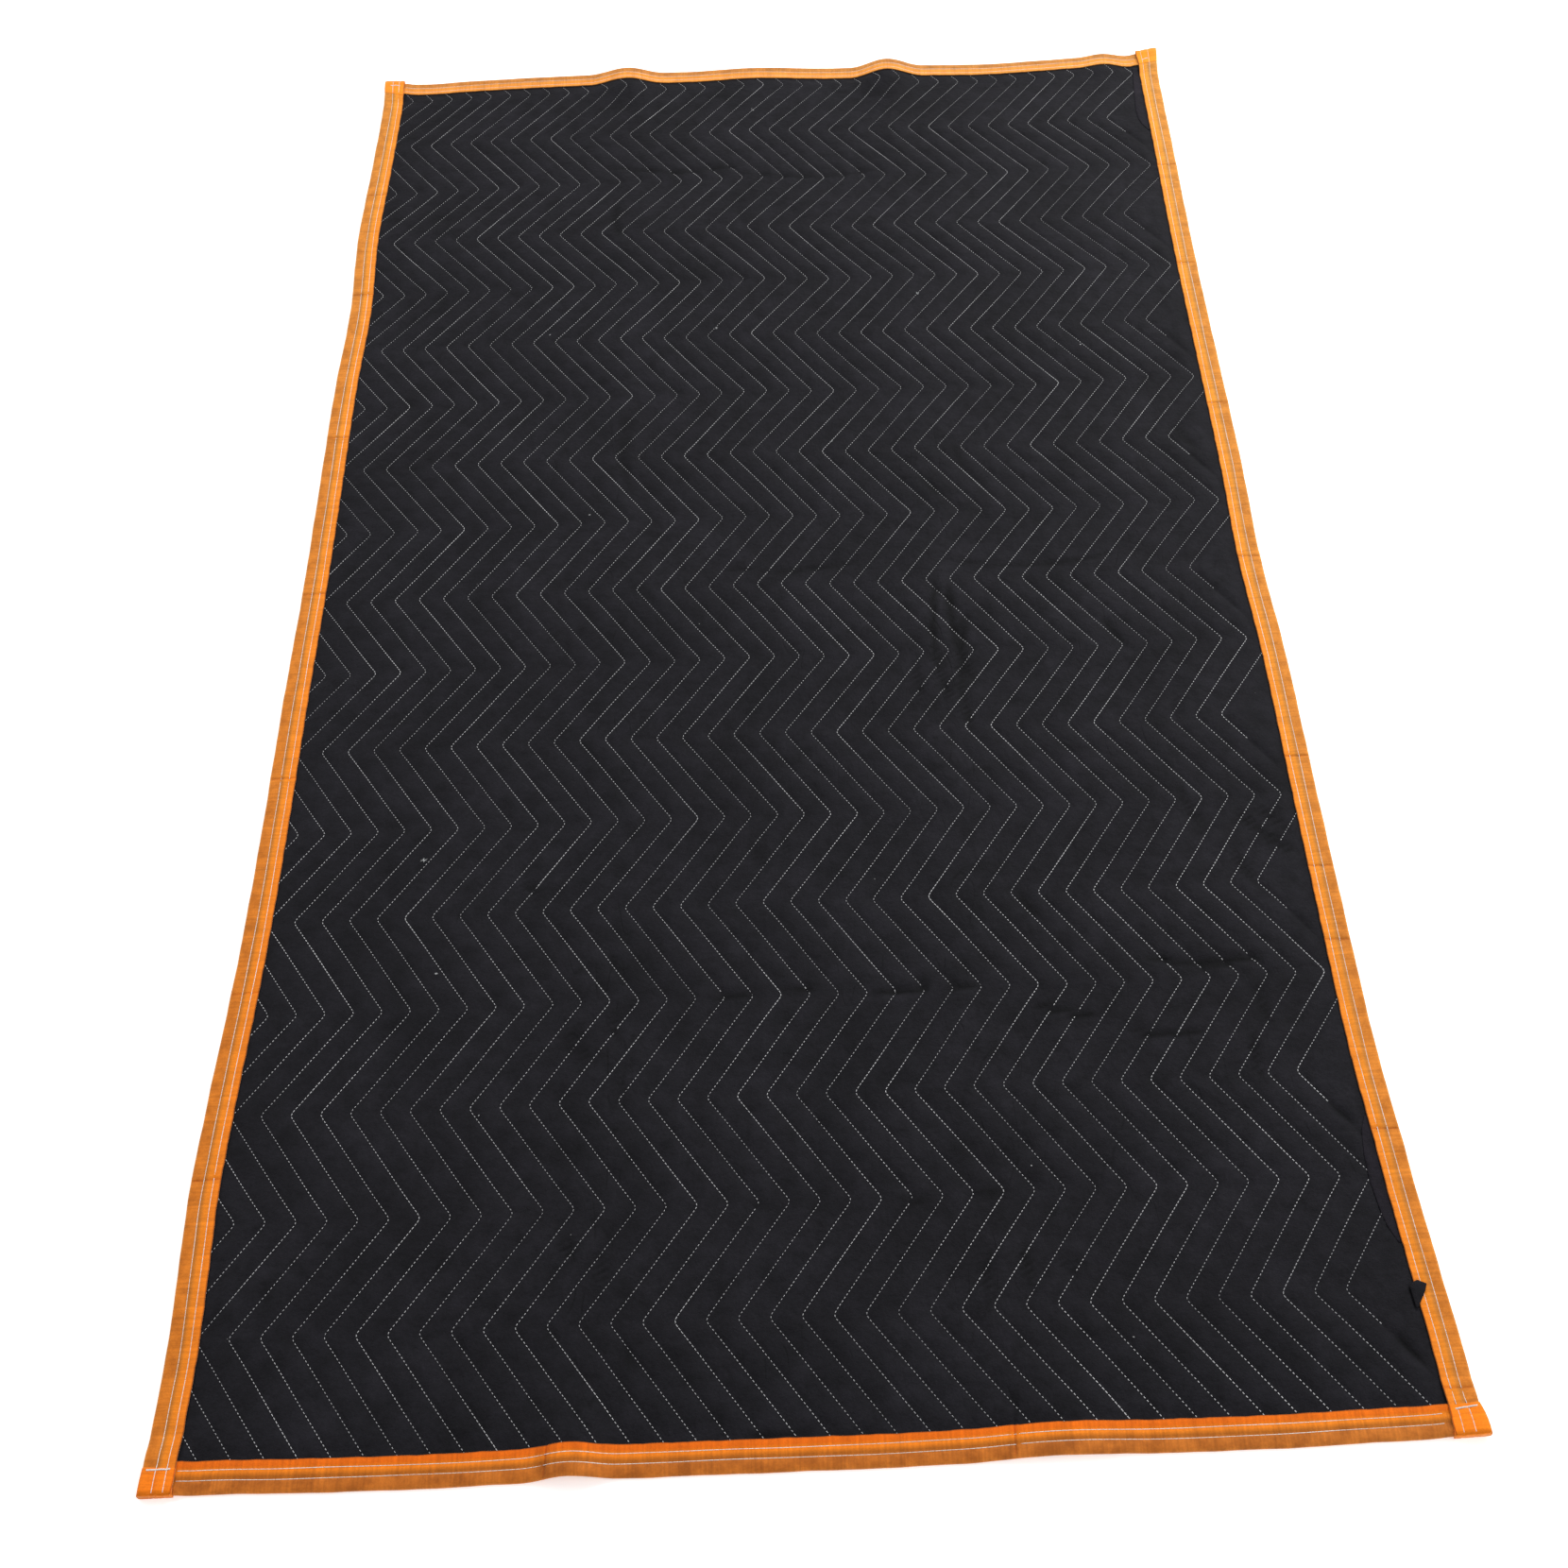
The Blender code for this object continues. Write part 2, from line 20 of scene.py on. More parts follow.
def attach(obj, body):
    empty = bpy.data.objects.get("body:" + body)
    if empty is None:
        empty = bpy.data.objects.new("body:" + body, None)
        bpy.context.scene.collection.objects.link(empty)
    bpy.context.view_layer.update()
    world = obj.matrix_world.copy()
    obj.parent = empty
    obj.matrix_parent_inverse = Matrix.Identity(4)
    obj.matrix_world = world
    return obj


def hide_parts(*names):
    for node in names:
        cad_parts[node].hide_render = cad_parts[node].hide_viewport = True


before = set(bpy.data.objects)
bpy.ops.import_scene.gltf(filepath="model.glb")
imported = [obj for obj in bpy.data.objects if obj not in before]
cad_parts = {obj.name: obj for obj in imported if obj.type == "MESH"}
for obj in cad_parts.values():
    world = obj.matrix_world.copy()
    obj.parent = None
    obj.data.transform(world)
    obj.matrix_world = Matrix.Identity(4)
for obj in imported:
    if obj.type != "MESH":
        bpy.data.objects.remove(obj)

LOG = logging.getLogger("moving_pad")
METRES_PER_MM = 0.001
BODY = "root"

# Names of two layers of a piece's mesh: how deep in a hollow or mark each point lies,
# which sets its painted shade, and where it lies on the flat strip
HOLLOW = "hollow"
FLAT = "cloth"

# The record's material slots
BLACK_CLOTH = "black_cloth"
ORANGE_STRIP = "orange_strip"

Array = np.ndarray
Pair = Tuple[float, float]
Triple = Tuple[float, float, float]
Colour = Triple
Face = Tuple[int, ...]
Socket = bpy.types.NodeSocket
Value = Union[float, Triple, Socket]


class SideShift(NamedTuple):
    """How far the two long edges lie towards +x of their straight lines, at one y."""

    y: float
    left: float
    right: float


class EndShift(NamedTuple):
    """How far the two short edges lie towards +y of their straight lines, at one x."""

    x: float
    near: float
    far: float


class EndFold(NamedTuple):
    """A fold that stands off the surface at one of the short edges and fades into the pad."""

    x: float
    far: bool
    half_width: float
    reach: float
    height: float


class CornerTurn(NamedTuple):
    """A right-hand corner that is turned up a little, bent along a diagonal line."""

    far: bool
    reach: float
    height: float


class Crease(NamedTuple):
    """A soft trough or ridge in the face, from one pattern point to another."""

    x: float
    y: float
    to_x: float
    to_y: float
    half_width: float
    height: float


class LineDrift(NamedTuple):
    """How far the quilting lines lie towards +x of their even pitch, across the pad at one y."""

    y: float
    left: float
    middle: float
    right: float


SIDE_SHIFTS = [
    SideShift(0, 0.4, 0.5),
    SideShift(65, 1.5, -1),
    SideShift(110, 2.4, -3.4),
    SideShift(200, -0.4, -8.6),
    SideShift(245, -2, -10.4),
    SideShift(335, 0.2, -14.6),
    SideShift(470, 5.1, -15.2),
    SideShift(605, 6.4, -15),
    SideShift(785, 5.5, -14.2),
    SideShift(920, 6.1, -17.4),
    SideShift(1055, 4.8, -14.4),
    SideShift(1235, 2.9, -13.6),
    SideShift(1370, 5, -13.2),
    SideShift(1505, -0.8, -11.4),
    SideShift(1640, 1.1, -8.8),
    SideShift(1775, 2.1, -6.8),
    SideShift(1829, 0.4, -5),
]

END_SHIFTS = [
    EndShift(0, 0.6, -1),
    EndShift(60, 0.4, -4),
    EndShift(110, -1.2, -1),
    EndShift(210, -2.9, 2),
    EndShift(318, -2.2, 2.6),
    EndShift(410, -2.8, 1.4),
    EndShift(485, -3.5, 4.8),
    EndShift(585, -4.1, -3.4),
    EndShift(700, -2.4, -4),
    EndShift(785, -3.2, -7.8),
    EndShift(860, -4, -4.6),
    EndShift(935, -3, -0.4),
    EndShift(986, -2.6, -3.6),
    EndShift(1016, -2.2, -2),
]

END_FOLDS = [
    EndFold(316, True, 50, 60, 8.2),
    EndFold(659, True, 49, 62, 10.4),
    EndFold(322, False, 38, 60, 10.2),
    EndFold(699, False, 70, 60, 4.4),
    EndFold(946, True, 34, 40, 4),
]

CORNER_TURNS = [
    CornerTurn(True, 46, 5.8),
    CornerTurn(False, 60, 2.4),
]

LINE_DRIFTS = [
    LineDrift(22, 2, -1.5, -1),
    LineDrift(121, 2.9, -1.5, -1),
    LineDrift(219, 3.1, 1.6, -0.8),
    LineDrift(317, 3.9, 4.8, 4.4),
    LineDrift(415, -0.6, -0.2, 3.7),
    LineDrift(513, 0.8, 1.6, 3.9),
    LineDrift(612, -2.3, -1.6, -1.2),
    LineDrift(710, 2.2, 0.4, 0.2),
    LineDrift(808, 0.7, -1.3, -2.3),
    LineDrift(906, 3.3, 1.9, 0.5),
    LineDrift(1004, 0, -2.5, 0.8),
    LineDrift(1103, 1, -0.9, 2.7),
    LineDrift(1201, 0, -2.2, 1.3),
    LineDrift(1299, 0.5, -1, 3.7),
    LineDrift(1397, -0.5, -2.4, 2),
    LineDrift(1829, 0, 0, 0),
]

FACE_CREASES = (
    Crease(669, 900, 672, 735, 6.2, -1.8),
    Crease(684, 905, 697, 762, 7.5, -1.7),
    Crease(697, 858, 690, 700, 6.2, -1.5),
    Crease(640, 800, 645, 745, 5.6, -1.4),
    Crease(836, 850, 858, 806, 5.6, -1.4),
    Crease(884, 630, 904, 570, 7.5, -1.4),
    Crease(894, 742, 899, 700, 6.2, -1.2),
    Crease(938, 594, 984, 540, 5, -2),
    Crease(952, 600, 984, 570, 5, -1.6),
    Crease(925, 560, 945, 500, 7.5, -1.4),
    Crease(820, 441, 932, 434, 5, -2.2),
    Crease(858, 424, 912, 431, 5, -1.8),
    Crease(435, 419, 474, 418, 5, -1.8),
    Crease(499, 419, 526, 421, 5, -2.7),
    Crease(578, 417, 633, 419, 5, -3),
    Crease(648, 418, 676, 418, 5, -2.7),
    Crease(722, 396, 779, 383, 5, -2.4),
    Crease(804, 366, 870, 361, 5, -2.2),
    Crease(912, 361, 912, 305, 6.2, -1.5),
    Crease(921, 400, 931, 361, 6.2, -1.5),
    Crease(962, 287, 981, 266, 5, -1.2),
    Crease(648, 218, 678, 218, 5, -2.4),
    Crease(592, 217, 618, 216, 5, -1.5),
    Crease(466, 218, 490, 217, 5, -1.5),
    Crease(655, 165, 655, 128, 5.6, -1.5),
    Crease(687, 172, 690, 131, 5.6, -1.8),
    Crease(715, 165, 728, 140, 5, -1.4),
    Crease(965, 85, 989, 54, 5, -1.3),
    Crease(452, 30, 515, 33, 5, -1.2),
    Crease(305, 392, 318, 362, 6.2, -1.4),
    Crease(322, 378, 333, 352, 6.2, -1.5),
    Crease(345, 402, 357, 372, 6.2, -1.4),
    Crease(352, 348, 366, 320, 6.2, -1.4),
    Crease(312, 196, 326, 172, 6.2, -1.5),
    Crease(341, 180, 352, 150, 6.2, -1.5),
    Crease(360, 112, 374, 78, 7.5, -1.2),
    Crease(268, 178, 282, 174, 5, -1.4),
    Crease(206, 122, 222, 119, 5.6, -1.7),
    Crease(326, 62, 331, 34, 7.5, -1.5),
    Crease(256, 556, 276, 528, 6.2, -1.5),
    Crease(340, 470, 356, 440, 7.5, -1.2),
    Crease(470, 582, 488, 548, 7.5, -1.2),
    Crease(498, 590, 512, 556, 7.5, -1),
    Crease(716, 520, 742, 478, 7.5, -1.2),
    Crease(660, 1060, 690, 1020, 8.8, -1.2),
    Crease(700, 1120, 716, 1060, 10, -1),
    Crease(446, 930, 590, 936, 5.6, -1),
    Crease(700, 930, 860, 934, 5.6, -1),
    Crease(950, 1130, 972, 1076, 7.5, -1.4),
    Crease(300, 1625, 470, 1619, 6.2, -1.2),
    Crease(480, 1600, 640, 1606, 6.2, -0.9),
    Crease(318, 1560, 322, 1480, 7.5, -1.4),
    Crease(330, 1740, 326, 1640, 8.8, 1.2),
    Crease(662, 1740, 668, 1640, 8.8, 1.2),
    Crease(340, 1180, 345, 1040, 10, -0.9),
)


def table_curve(table: Sequence[NamedTuple], column: str, at: Array) -> Array:
    """Read a column of a table on a smooth curve through its rows.

    Args:
        table: Rows whose first value is the place along the curve.
        column: The column to read.
        at: The places to read it at.

    Returns:
        The column's value at each place.
    """
    places = np.array([row[0] for row in table])
    values = np.array([getattr(row, column) for row in table])
    after = np.minimum(np.arange(len(table)) + 1, len(table) - 1)
    before = np.maximum(np.arange(len(table)) - 1, 0)
    slopes = (values[after] - values[before]) / (places[after] - places[before])
    at = np.clip(at, places[0], places[-1])
    lower = np.clip(np.searchsorted(places, at, side="right") - 1, 0, len(table) - 2)
    span = places[lower + 1] - places[lower]
    part = (at - places[lower]) / span
    square = part * part
    cube = square * part
    return (
        (2 * cube - 3 * square + 1) * values[lower]
        + (cube - 2 * square + part) * span * slopes[lower]
        + (3 * square - 2 * cube) * values[lower + 1]
        + (cube - square) * span * slopes[lower + 1]
    )


def hump(offset: Array, half_width: float) -> Array:
    """A soft hump: 1 in the middle, 0 from half_width outwards."""
    inside = np.clip(np.abs(offset) / half_width, 0.0, 1.0)
    return 0.5 * (1.0 + np.cos(math.pi * inside))


def ramp(value: Array, low: float, high: float) -> Array:
    """A soft step from 0 at low to 1 at high."""
    part = np.clip((value - low) / (high - low), 0.0, 1.0)
    return part * part * (3.0 - 2.0 * part)


def rounded(depth: Array, reach: float) -> Array:
    """A round edge's fall: 1 at its outermost point, 0 from reach inwards."""
    return 1.0 - np.sqrt(1.0 - np.clip(1.0 - depth / reach, 0.0, 1.0) ** 2)


# The ripples of an uneven wave: how many times shorter each is than the longest, and its share
RIPPLES = ((1.0, 0.5), (1.73, 0.3), (3.1, 0.2))
RIPPLE_PHASE = 2.3


def waver(place: Array, longest: float, phase: float) -> Array:
    """An uneven wave between about -1 and 1, the same in each run.

    Args:
        place: Where along the wave it is read, in millimetres.
        longest: Length of its longest ripple, in millimetres.
        phase: Tells one wave from another.

    Returns:
        The wave's height at each place.
    """
    total = np.zeros_like(place, dtype=float)
    for number, (shorter, share) in enumerate(RIPPLES):
        turn = 2 * math.pi * place / (longest / shorter)
        total += share * np.sin(turn + phase * (1.0 + RIPPLE_PHASE * number))
    return total


@dataclass(frozen=True)
class PadLay:
    """The pad's cut size, and how its cloth lies.

    Attributes:
        width: Cut width, in millimetres.
        length: Cut length, in millimetres.
        middle_x: Pattern x of the laid outline's middle.
        middle_y: Pattern y of the laid outline's middle.
        binding_clear: How far in from the edge an end fold stays even.
        turn_softness: Half length of the bend of a turned-up corner.
        ridge_lines: Where the pad's folding in three left its two ridges.
        ridge_half_width: Half width of such a ridge.
        ridge_height: Height of such a ridge.
    """

    width: float = 1016.0
    length: float = 1829.0
    middle_x: float = 507.3
    middle_y: float = 914.8
    binding_clear: float = 26.0
    turn_softness: float = 30.0
    ridge_lines: Pair = (330.0, 660.0)
    ridge_half_width: float = 42.0
    ridge_height: float = 1.1

    def lift(self, x: Array, y: Array) -> Array:
        """Height of the cloth's underside off the surface, from its folds, ridges and corners.

        Args:
            x: Pattern x.
            y: Pattern y.

        Returns:
            The height at each place, in millimetres.
        """
        total = np.zeros(np.broadcast(x, y).shape)
        for fold in END_FOLDS:
            from_end = self.length - y if fold.far else y
            fade = hump(np.maximum(from_end - self.binding_clear, 0.0), fold.reach)
            total = total + fold.height * hump(x - fold.x, fold.half_width) * fade
        soft = self.turn_softness
        for turn in CORNER_TURNS:
            from_end = self.length - y if turn.far else y
            inside = turn.reach - (self.width - x) - from_end
            bent = (np.maximum(inside + soft, 0.0)) ** 2 / (4 * soft)
            total = total + turn.height / turn.reach * np.where(inside < soft, bent, inside)
        for line in self.ridge_lines:
            total = total + self.ridge_height * hump(x - line, self.ridge_half_width)
        return total

    def lay(self, x: Array, y: Array, z: Array) -> Array:
        """Put pattern points where the cloth lies.

        Args:
            x: Pattern x of each point, in millimetres.
            y: Pattern y of each point.
            z: Height of each point over the cloth's underside.

        Returns:
            One row of three metres for each point.
        """
        across = x / self.width
        along = y / self.length
        left = table_curve(SIDE_SHIFTS, "left", y)
        right = table_curve(SIDE_SHIFTS, "right", y)
        near = table_curve(END_SHIFTS, "near", x)
        far = table_curve(END_SHIFTS, "far", x)
        laid_x = x + left + (right - left) * across - self.middle_x
        laid_y = y + near + (far - near) * along - self.middle_y
        return np.stack([laid_x, laid_y, z + self.lift(x, y)], axis=-1) * METRES_PER_MM

    def from_side(self, x: Array) -> Array:
        """Distance from the nearer long edge."""
        return np.minimum(x, self.width - x)

    def from_end(self, y: Array) -> Array:
        """Distance from the nearer short edge."""
        return np.minimum(y, self.length - y)


@dataclass(frozen=True)
class SewnEdge:
    """Heights of the layers that are sewn together in the binding, in millimetres.

    Attributes:
        strip_width: How much of a binding strip shows.
        strip_thickness: Thickness of its cloth.
        gap: The air left where layers touch.
        panel_thickness: The panel's thickness between the strip's lips.
        corner_raised: Distance from a corner within which its layers are stacked.
        corner_level: Distance from which they no longer are.
        side_level: Distance from which a side strip is level again.
    """

    strip_width: float = 25.0
    strip_thickness: float = 1.0
    gap: float = 0.5
    panel_thickness: float = 1.4
    corner_raised: float = 27.0
    corner_level: float = 38.0
    side_level: float = 46.0

    @property
    def inset(self) -> float:
        """How far in from the pad's edge the cloth inside a strip ends."""
        return self.strip_thickness + self.gap

    @property
    def panel_bottom(self) -> float:
        """Height of the panel's underside inside the binding."""
        return self.strip_thickness + self.gap

    @property
    def panel_top(self) -> float:
        """Height of the panel's face inside the binding."""
        return self.panel_bottom + self.panel_thickness

    @property
    def mouth_top(self) -> float:
        """Height of the inner face of a strip's upper lip."""
        return self.panel_top + self.gap

    @property
    def strip_top(self) -> float:
        """Height of a strip's outer face."""
        return self.mouth_top + self.strip_thickness

    @property
    def corner_lift(self) -> float:
        """How far the layers in a corner are lifted by the strip folded under them."""
        return self.strip_thickness + self.gap

    def corner_share(self, distance: Array) -> Array:
        """1 where a corner's layers are stacked, 0 clear of them."""
        return 1.0 - ramp(distance, self.corner_raised, self.corner_level)


class Shading:
    """Short ways to add and join the shader nodes of one material."""

    def __init__(self, name: str) -> None:
        """Start a material with a plain Principled shader.

        Args:
            name: The material's name.
        """
        self.material = bpy.data.materials.new(name)
        self.material.use_nodes = True
        self.tree = self.material.node_tree
        self.shader = self.tree.nodes["Principled BSDF"]

    def feed(self, socket: Socket, value: Value) -> None:
        """Give a socket a number, a colour or a link.

        Args:
            socket: The socket.
            value: What it is given.
        """
        if isinstance(value, bpy.types.NodeSocket):
            self.tree.links.new(value, socket)
        else:
            socket.default_value = (*value, 1.0) if socket.type == "RGBA" else value

    def set(self, **values: Value) -> None:
        """Feed the shader's sockets, named with underscores for spaces."""
        for name, value in values.items():
            self.feed(self.shader.inputs[name.replace("_", " ")], value)

    def add(
        self,
        kind: str,
        values: Optional[Dict[Union[int, str], Value]] = None,
        **settings: str,
    ) -> bpy.types.Node:
        """Add a node.

        Args:
            kind: The node's type.
            values: What its sockets are fed, by their names or numbers.
            settings: The properties to set on it, by name.

        Returns:
            The node.
        """
        node = self.tree.nodes.new(kind)
        for key, setting in settings.items():
            setattr(node, key, setting)
        for key, value in (values or {}).items():
            self.feed(node.inputs[key], value)
        return node

    def place(self) -> Socket:
        """The piece's own coordinates, in metres."""
        return self.add("ShaderNodeTexCoord").outputs["Object"]

    def split(self, vector: Socket) -> bpy.types.NodeOutputs:
        """Split a vector into its X, Y and Z."""
        return self.add("ShaderNodeSeparateXYZ", {"Vector": vector}).outputs

    def stretch(self, vector: Socket, scale: Triple, turn: float = 0.0) -> Socket:
        """Scale coordinates along each axis, and turn them about Z, in radians."""
        values = {"Vector": vector, "Rotation": (0.0, 0.0, turn), "Scale": scale}
        return self.add("ShaderNodeMapping", values).outputs["Vector"]

    def noise(
        self, scale: float, detail: float, roughness: float = 0.5, at: Optional[Socket] = None
    ) -> Socket:
        """Add noise over the piece.

        Args:
            scale: How many blotches fit in a metre.
            detail: How many finer layers it has.
            roughness: How strong those layers are.
            at: The coordinates that it is read at, if not the piece's own.

        Returns:
            The noise's value.
        """
        values = {"Scale": scale, "Detail": detail, "Roughness": roughness}
        values["Vector"] = at or self.place()
        return self.add("ShaderNodeTexNoise", values).outputs["Fac"]

    def dimples(self, per_metre: float) -> Socket:
        """Add the small dimples that are pressed into non-woven cloth."""
        values = {"Scale": per_metre, "Vector": self.place()}
        return self.add("ShaderNodeTexVoronoi", values, feature="F1").outputs["Distance"]

    def compute(self, operation: str, first: Socket, second: Optional[Value] = None) -> Socket:
        """Do a sum with one value or two, such as ABSOLUTE or ADD."""
        values = {0: first} if second is None else {0: first, 1: second}
        return self.add("ShaderNodeMath", values, operation=operation).outputs[0]

    def ramp(self, value: Socket, stops: Sequence[Tuple[float, Colour]]) -> Socket:
        """Turn a value into a colour.

        Args:
            value: A value from 0 to 1.
            stops: Places from 0 to 1, each with its colour.

        Returns:
            The colour.
        """
        node = self.add("ShaderNodeValToRGB", {"Fac": value})
        elements = node.color_ramp.elements
        while len(elements) < len(stops):
            elements.new(0.5)
        for element, (place, colour) in zip(elements, stops):
            element.position = place
            element.color = (*colour, 1.0)
        return node.outputs["Color"]

    def spread(self, value: Socket, low: float, high: float, to: Pair) -> Socket:
        """Map a value from low to high onto another range, and keep it inside that."""
        values = {"Value": value, "From Min": low, "From Max": high, "To Min": to[0], "To Max": to[1]}
        return self.add("ShaderNodeMapRange", values).outputs["Result"]

    def tint(self, mode: str, share: Value, first: Socket, second: Value) -> Socket:
        """Mix a share of the second colour into the first, in a mode such as MULTIPLY."""
        values = {0: share, 6: first, 7: second}
        return self.add("ShaderNodeMix", values, data_type="RGBA", blend_type=mode).outputs[2]

    def shade(self, colour: Socket, by: Socket, low: float, high: float, to: Pair) -> Socket:
        """Multiply a colour by a value, mapped from low to high onto another range."""
        return self.tint("MULTIPLY", 1.0, colour, self.spread(by, low, high, to))

    def bump(self, height: Socket, distance: float, strength: float) -> None:
        """Roughen the shader's normal with a height, chained onto any bump before it.

        Args:
            height: The height, from 0 to 1.
            distance: How high 1 stands, in metres.
            strength: How much of the bump shows.
        """
        values = {"Height": height, "Distance": distance, "Strength": strength}
        before = self.shader.inputs["Normal"].links
        if before:
            values["Normal"] = before[0].from_socket
        self.set(Normal=self.add("ShaderNodeBump", values).outputs["Normal"])


@dataclass(frozen=True)
class BlackClothFinish:
    """Thin black non-woven cloth: matt, with pressed dimples, a soft bloom and a little lint.

    Attributes:
        name: The material's name.
        deep: Colour of its darkest blotches.
        worn: Colour of its palest blotches.
        roughness: Roughness of its fibres.
        sheen: How much its loose fibres catch the light.
        sheen_tint: Colour of that light.
        blotches_per_metre: How closely its broad blotches lie.
        mottle_per_metre: How closely its small ones lie.
        mottle: What they multiply its colour by.
        fibres_per_metre: How closely its fibres lie.
        crumples_per_metre: How closely it is crumpled.
        dimples_per_metre: How closely it is pressed.
        lint_per_metre: How closely its specks of lint may lie.
        lint_colour: Their colour.
        hollow_shade: What the bottom of a channel or crease multiplies its colour by, a painted
            shade.
        crease_shade: What a thin crease multiplies its colour by, a painted shade in the crease.
        old_folds: Where the pad was folded lengthwise, as metres from its middle.
        fold_reach: How near and how far from them the thin creases fade, in metres.
        crease_scale: How many thin creases fit in a metre across the pad, along it and up.
        crease_turn: How far they are turned from the pad's length, in radians.
    """

    name: str = "black_nonwoven"
    deep: Colour = (0.0063, 0.0059, 0.0079)
    worn: Colour = (0.0102, 0.0095, 0.0126)
    roughness: float = 0.72
    sheen: float = 0.03
    sheen_tint: Colour = (0.8, 0.82, 0.9)
    blotches_per_metre: float = 9.0
    mottle_per_metre: float = 52.0
    mottle: Pair = (0.62, 1.38)
    fibres_per_metre: float = 420.0
    crumples_per_metre: float = 38.0
    dimples_per_metre: float = 900.0
    lint_per_metre: float = 95.0
    lint_colour: Colour = (0.3, 0.3, 0.3)
    hollow_shade: float = 0.24
    crease_shade: float = 0.58
    old_folds: Pair = (-0.177, 0.153)
    fold_reach: Pair = (0.012, 0.05)
    crease_scale: Triple = (44.0, 12.0, 1.0)
    crease_turn: float = 0.35

    def creased_places(self, make: Shading, x: Socket) -> Socket:
        """Find where the cloth is creased: along its old folds and in a few patches.

        Args:
            make: The material.
            x: The piece's X.

        Returns:
            1 where it is creased, 0 where it isn't.
        """
        places = make.spread(make.noise(4.0, 2.0), 0.52, 0.64, (0.0, 0.8))
        for fold in self.old_folds:
            away = make.compute("ABSOLUTE", make.compute("SUBTRACT", x, fold))
            beside = make.spread(away, *self.fold_reach, (1.0, 0.0))
            places = make.compute("MAXIMUM", places, beside)
        return places

    def thin_creases(self, make: Shading) -> Socket:
        """Draw thin broken creases in the near half of the pad, as painted shade and a bump.

        Args:
            make: The material.

        Returns:
            1 in a crease, 0 beside it.
        """
        spot = make.split(make.place())
        turned = make.stretch(make.place(), self.crease_scale, self.crease_turn)
        rumple = make.noise(1.0, 0.6, at=turned)
        away = make.compute("ABSOLUTE", make.compute("SUBTRACT", rumple, 0.5))
        crease = make.spread(away, 0.0, 0.022, (1.0, 0.0))
        unbroken = make.spread(make.noise(34.0, 1.0), 0.5, 0.62, (0.0, 1.0))
        nearer = make.spread(spot["Y"], 0.0, 0.5, (1.0, 0.0))
        for share in (self.creased_places(make, spot["X"]), unbroken, nearer):
            crease = make.compute("MULTIPLY", crease, share)
        return crease

    def make(self) -> bpy.types.Material:
        """Build the finish.

        Returns:
            Its material.
        """
        make = Shading(self.name)
        make.set(
            Roughness=self.roughness,
            Sheen_Weight=self.sheen,
            Sheen_Roughness=0.55,
            Sheen_Tint=self.sheen_tint,
            Specular_IOR_Level=0.1,
        )
        blotch = make.noise(self.blotches_per_metre, 3.0, 0.6)
        fibre = make.noise(self.fibres_per_metre, 4.0, 0.7)
        mottle = make.noise(self.mottle_per_metre, 4.0, 0.72)
        hollow = make.add("ShaderNodeAttribute", attribute_name=HOLLOW).outputs["Fac"]
        # Thin creases: painted shade in their colour, and the same mask as a bump
        creased = make.spread(self.thin_creases(make), 0.0, 1.0, (1.0, self.crease_shade))
        colour = make.ramp(blotch, [(0.3, self.deep), (0.72, self.worn)])
        colour = make.shade(colour, fibre, 0.3, 0.75, (0.78, 1.22))
        colour = make.shade(colour, mottle, 0.3, 0.7, self.mottle)
        # Painted shade: darker at the bottom of channels and creases, and in thin creases
        colour = make.shade(colour, hollow, 0.0, 1.0, (1.0, self.hollow_shade))
        colour = make.tint("MULTIPLY", 1.0, colour, creased)
        speck = make.spread(make.noise(self.lint_per_metre, 2.0), 0.815, 0.83, (0.0, 1.0))
        colour = make.tint("MIX", speck, colour, self.lint_colour)
        make.set(Base_Color=colour)
        make.bump(make.noise(self.crumples_per_metre, 4.0, 0.62), 0.0040, 0.8)
        make.bump(creased, 0.0010, 0.8)
        make.bump(make.dimples(self.dimples_per_metre), 0.00025, 0.6)
        make.bump(fibre, 0.00035, 0.7)
        return make.material


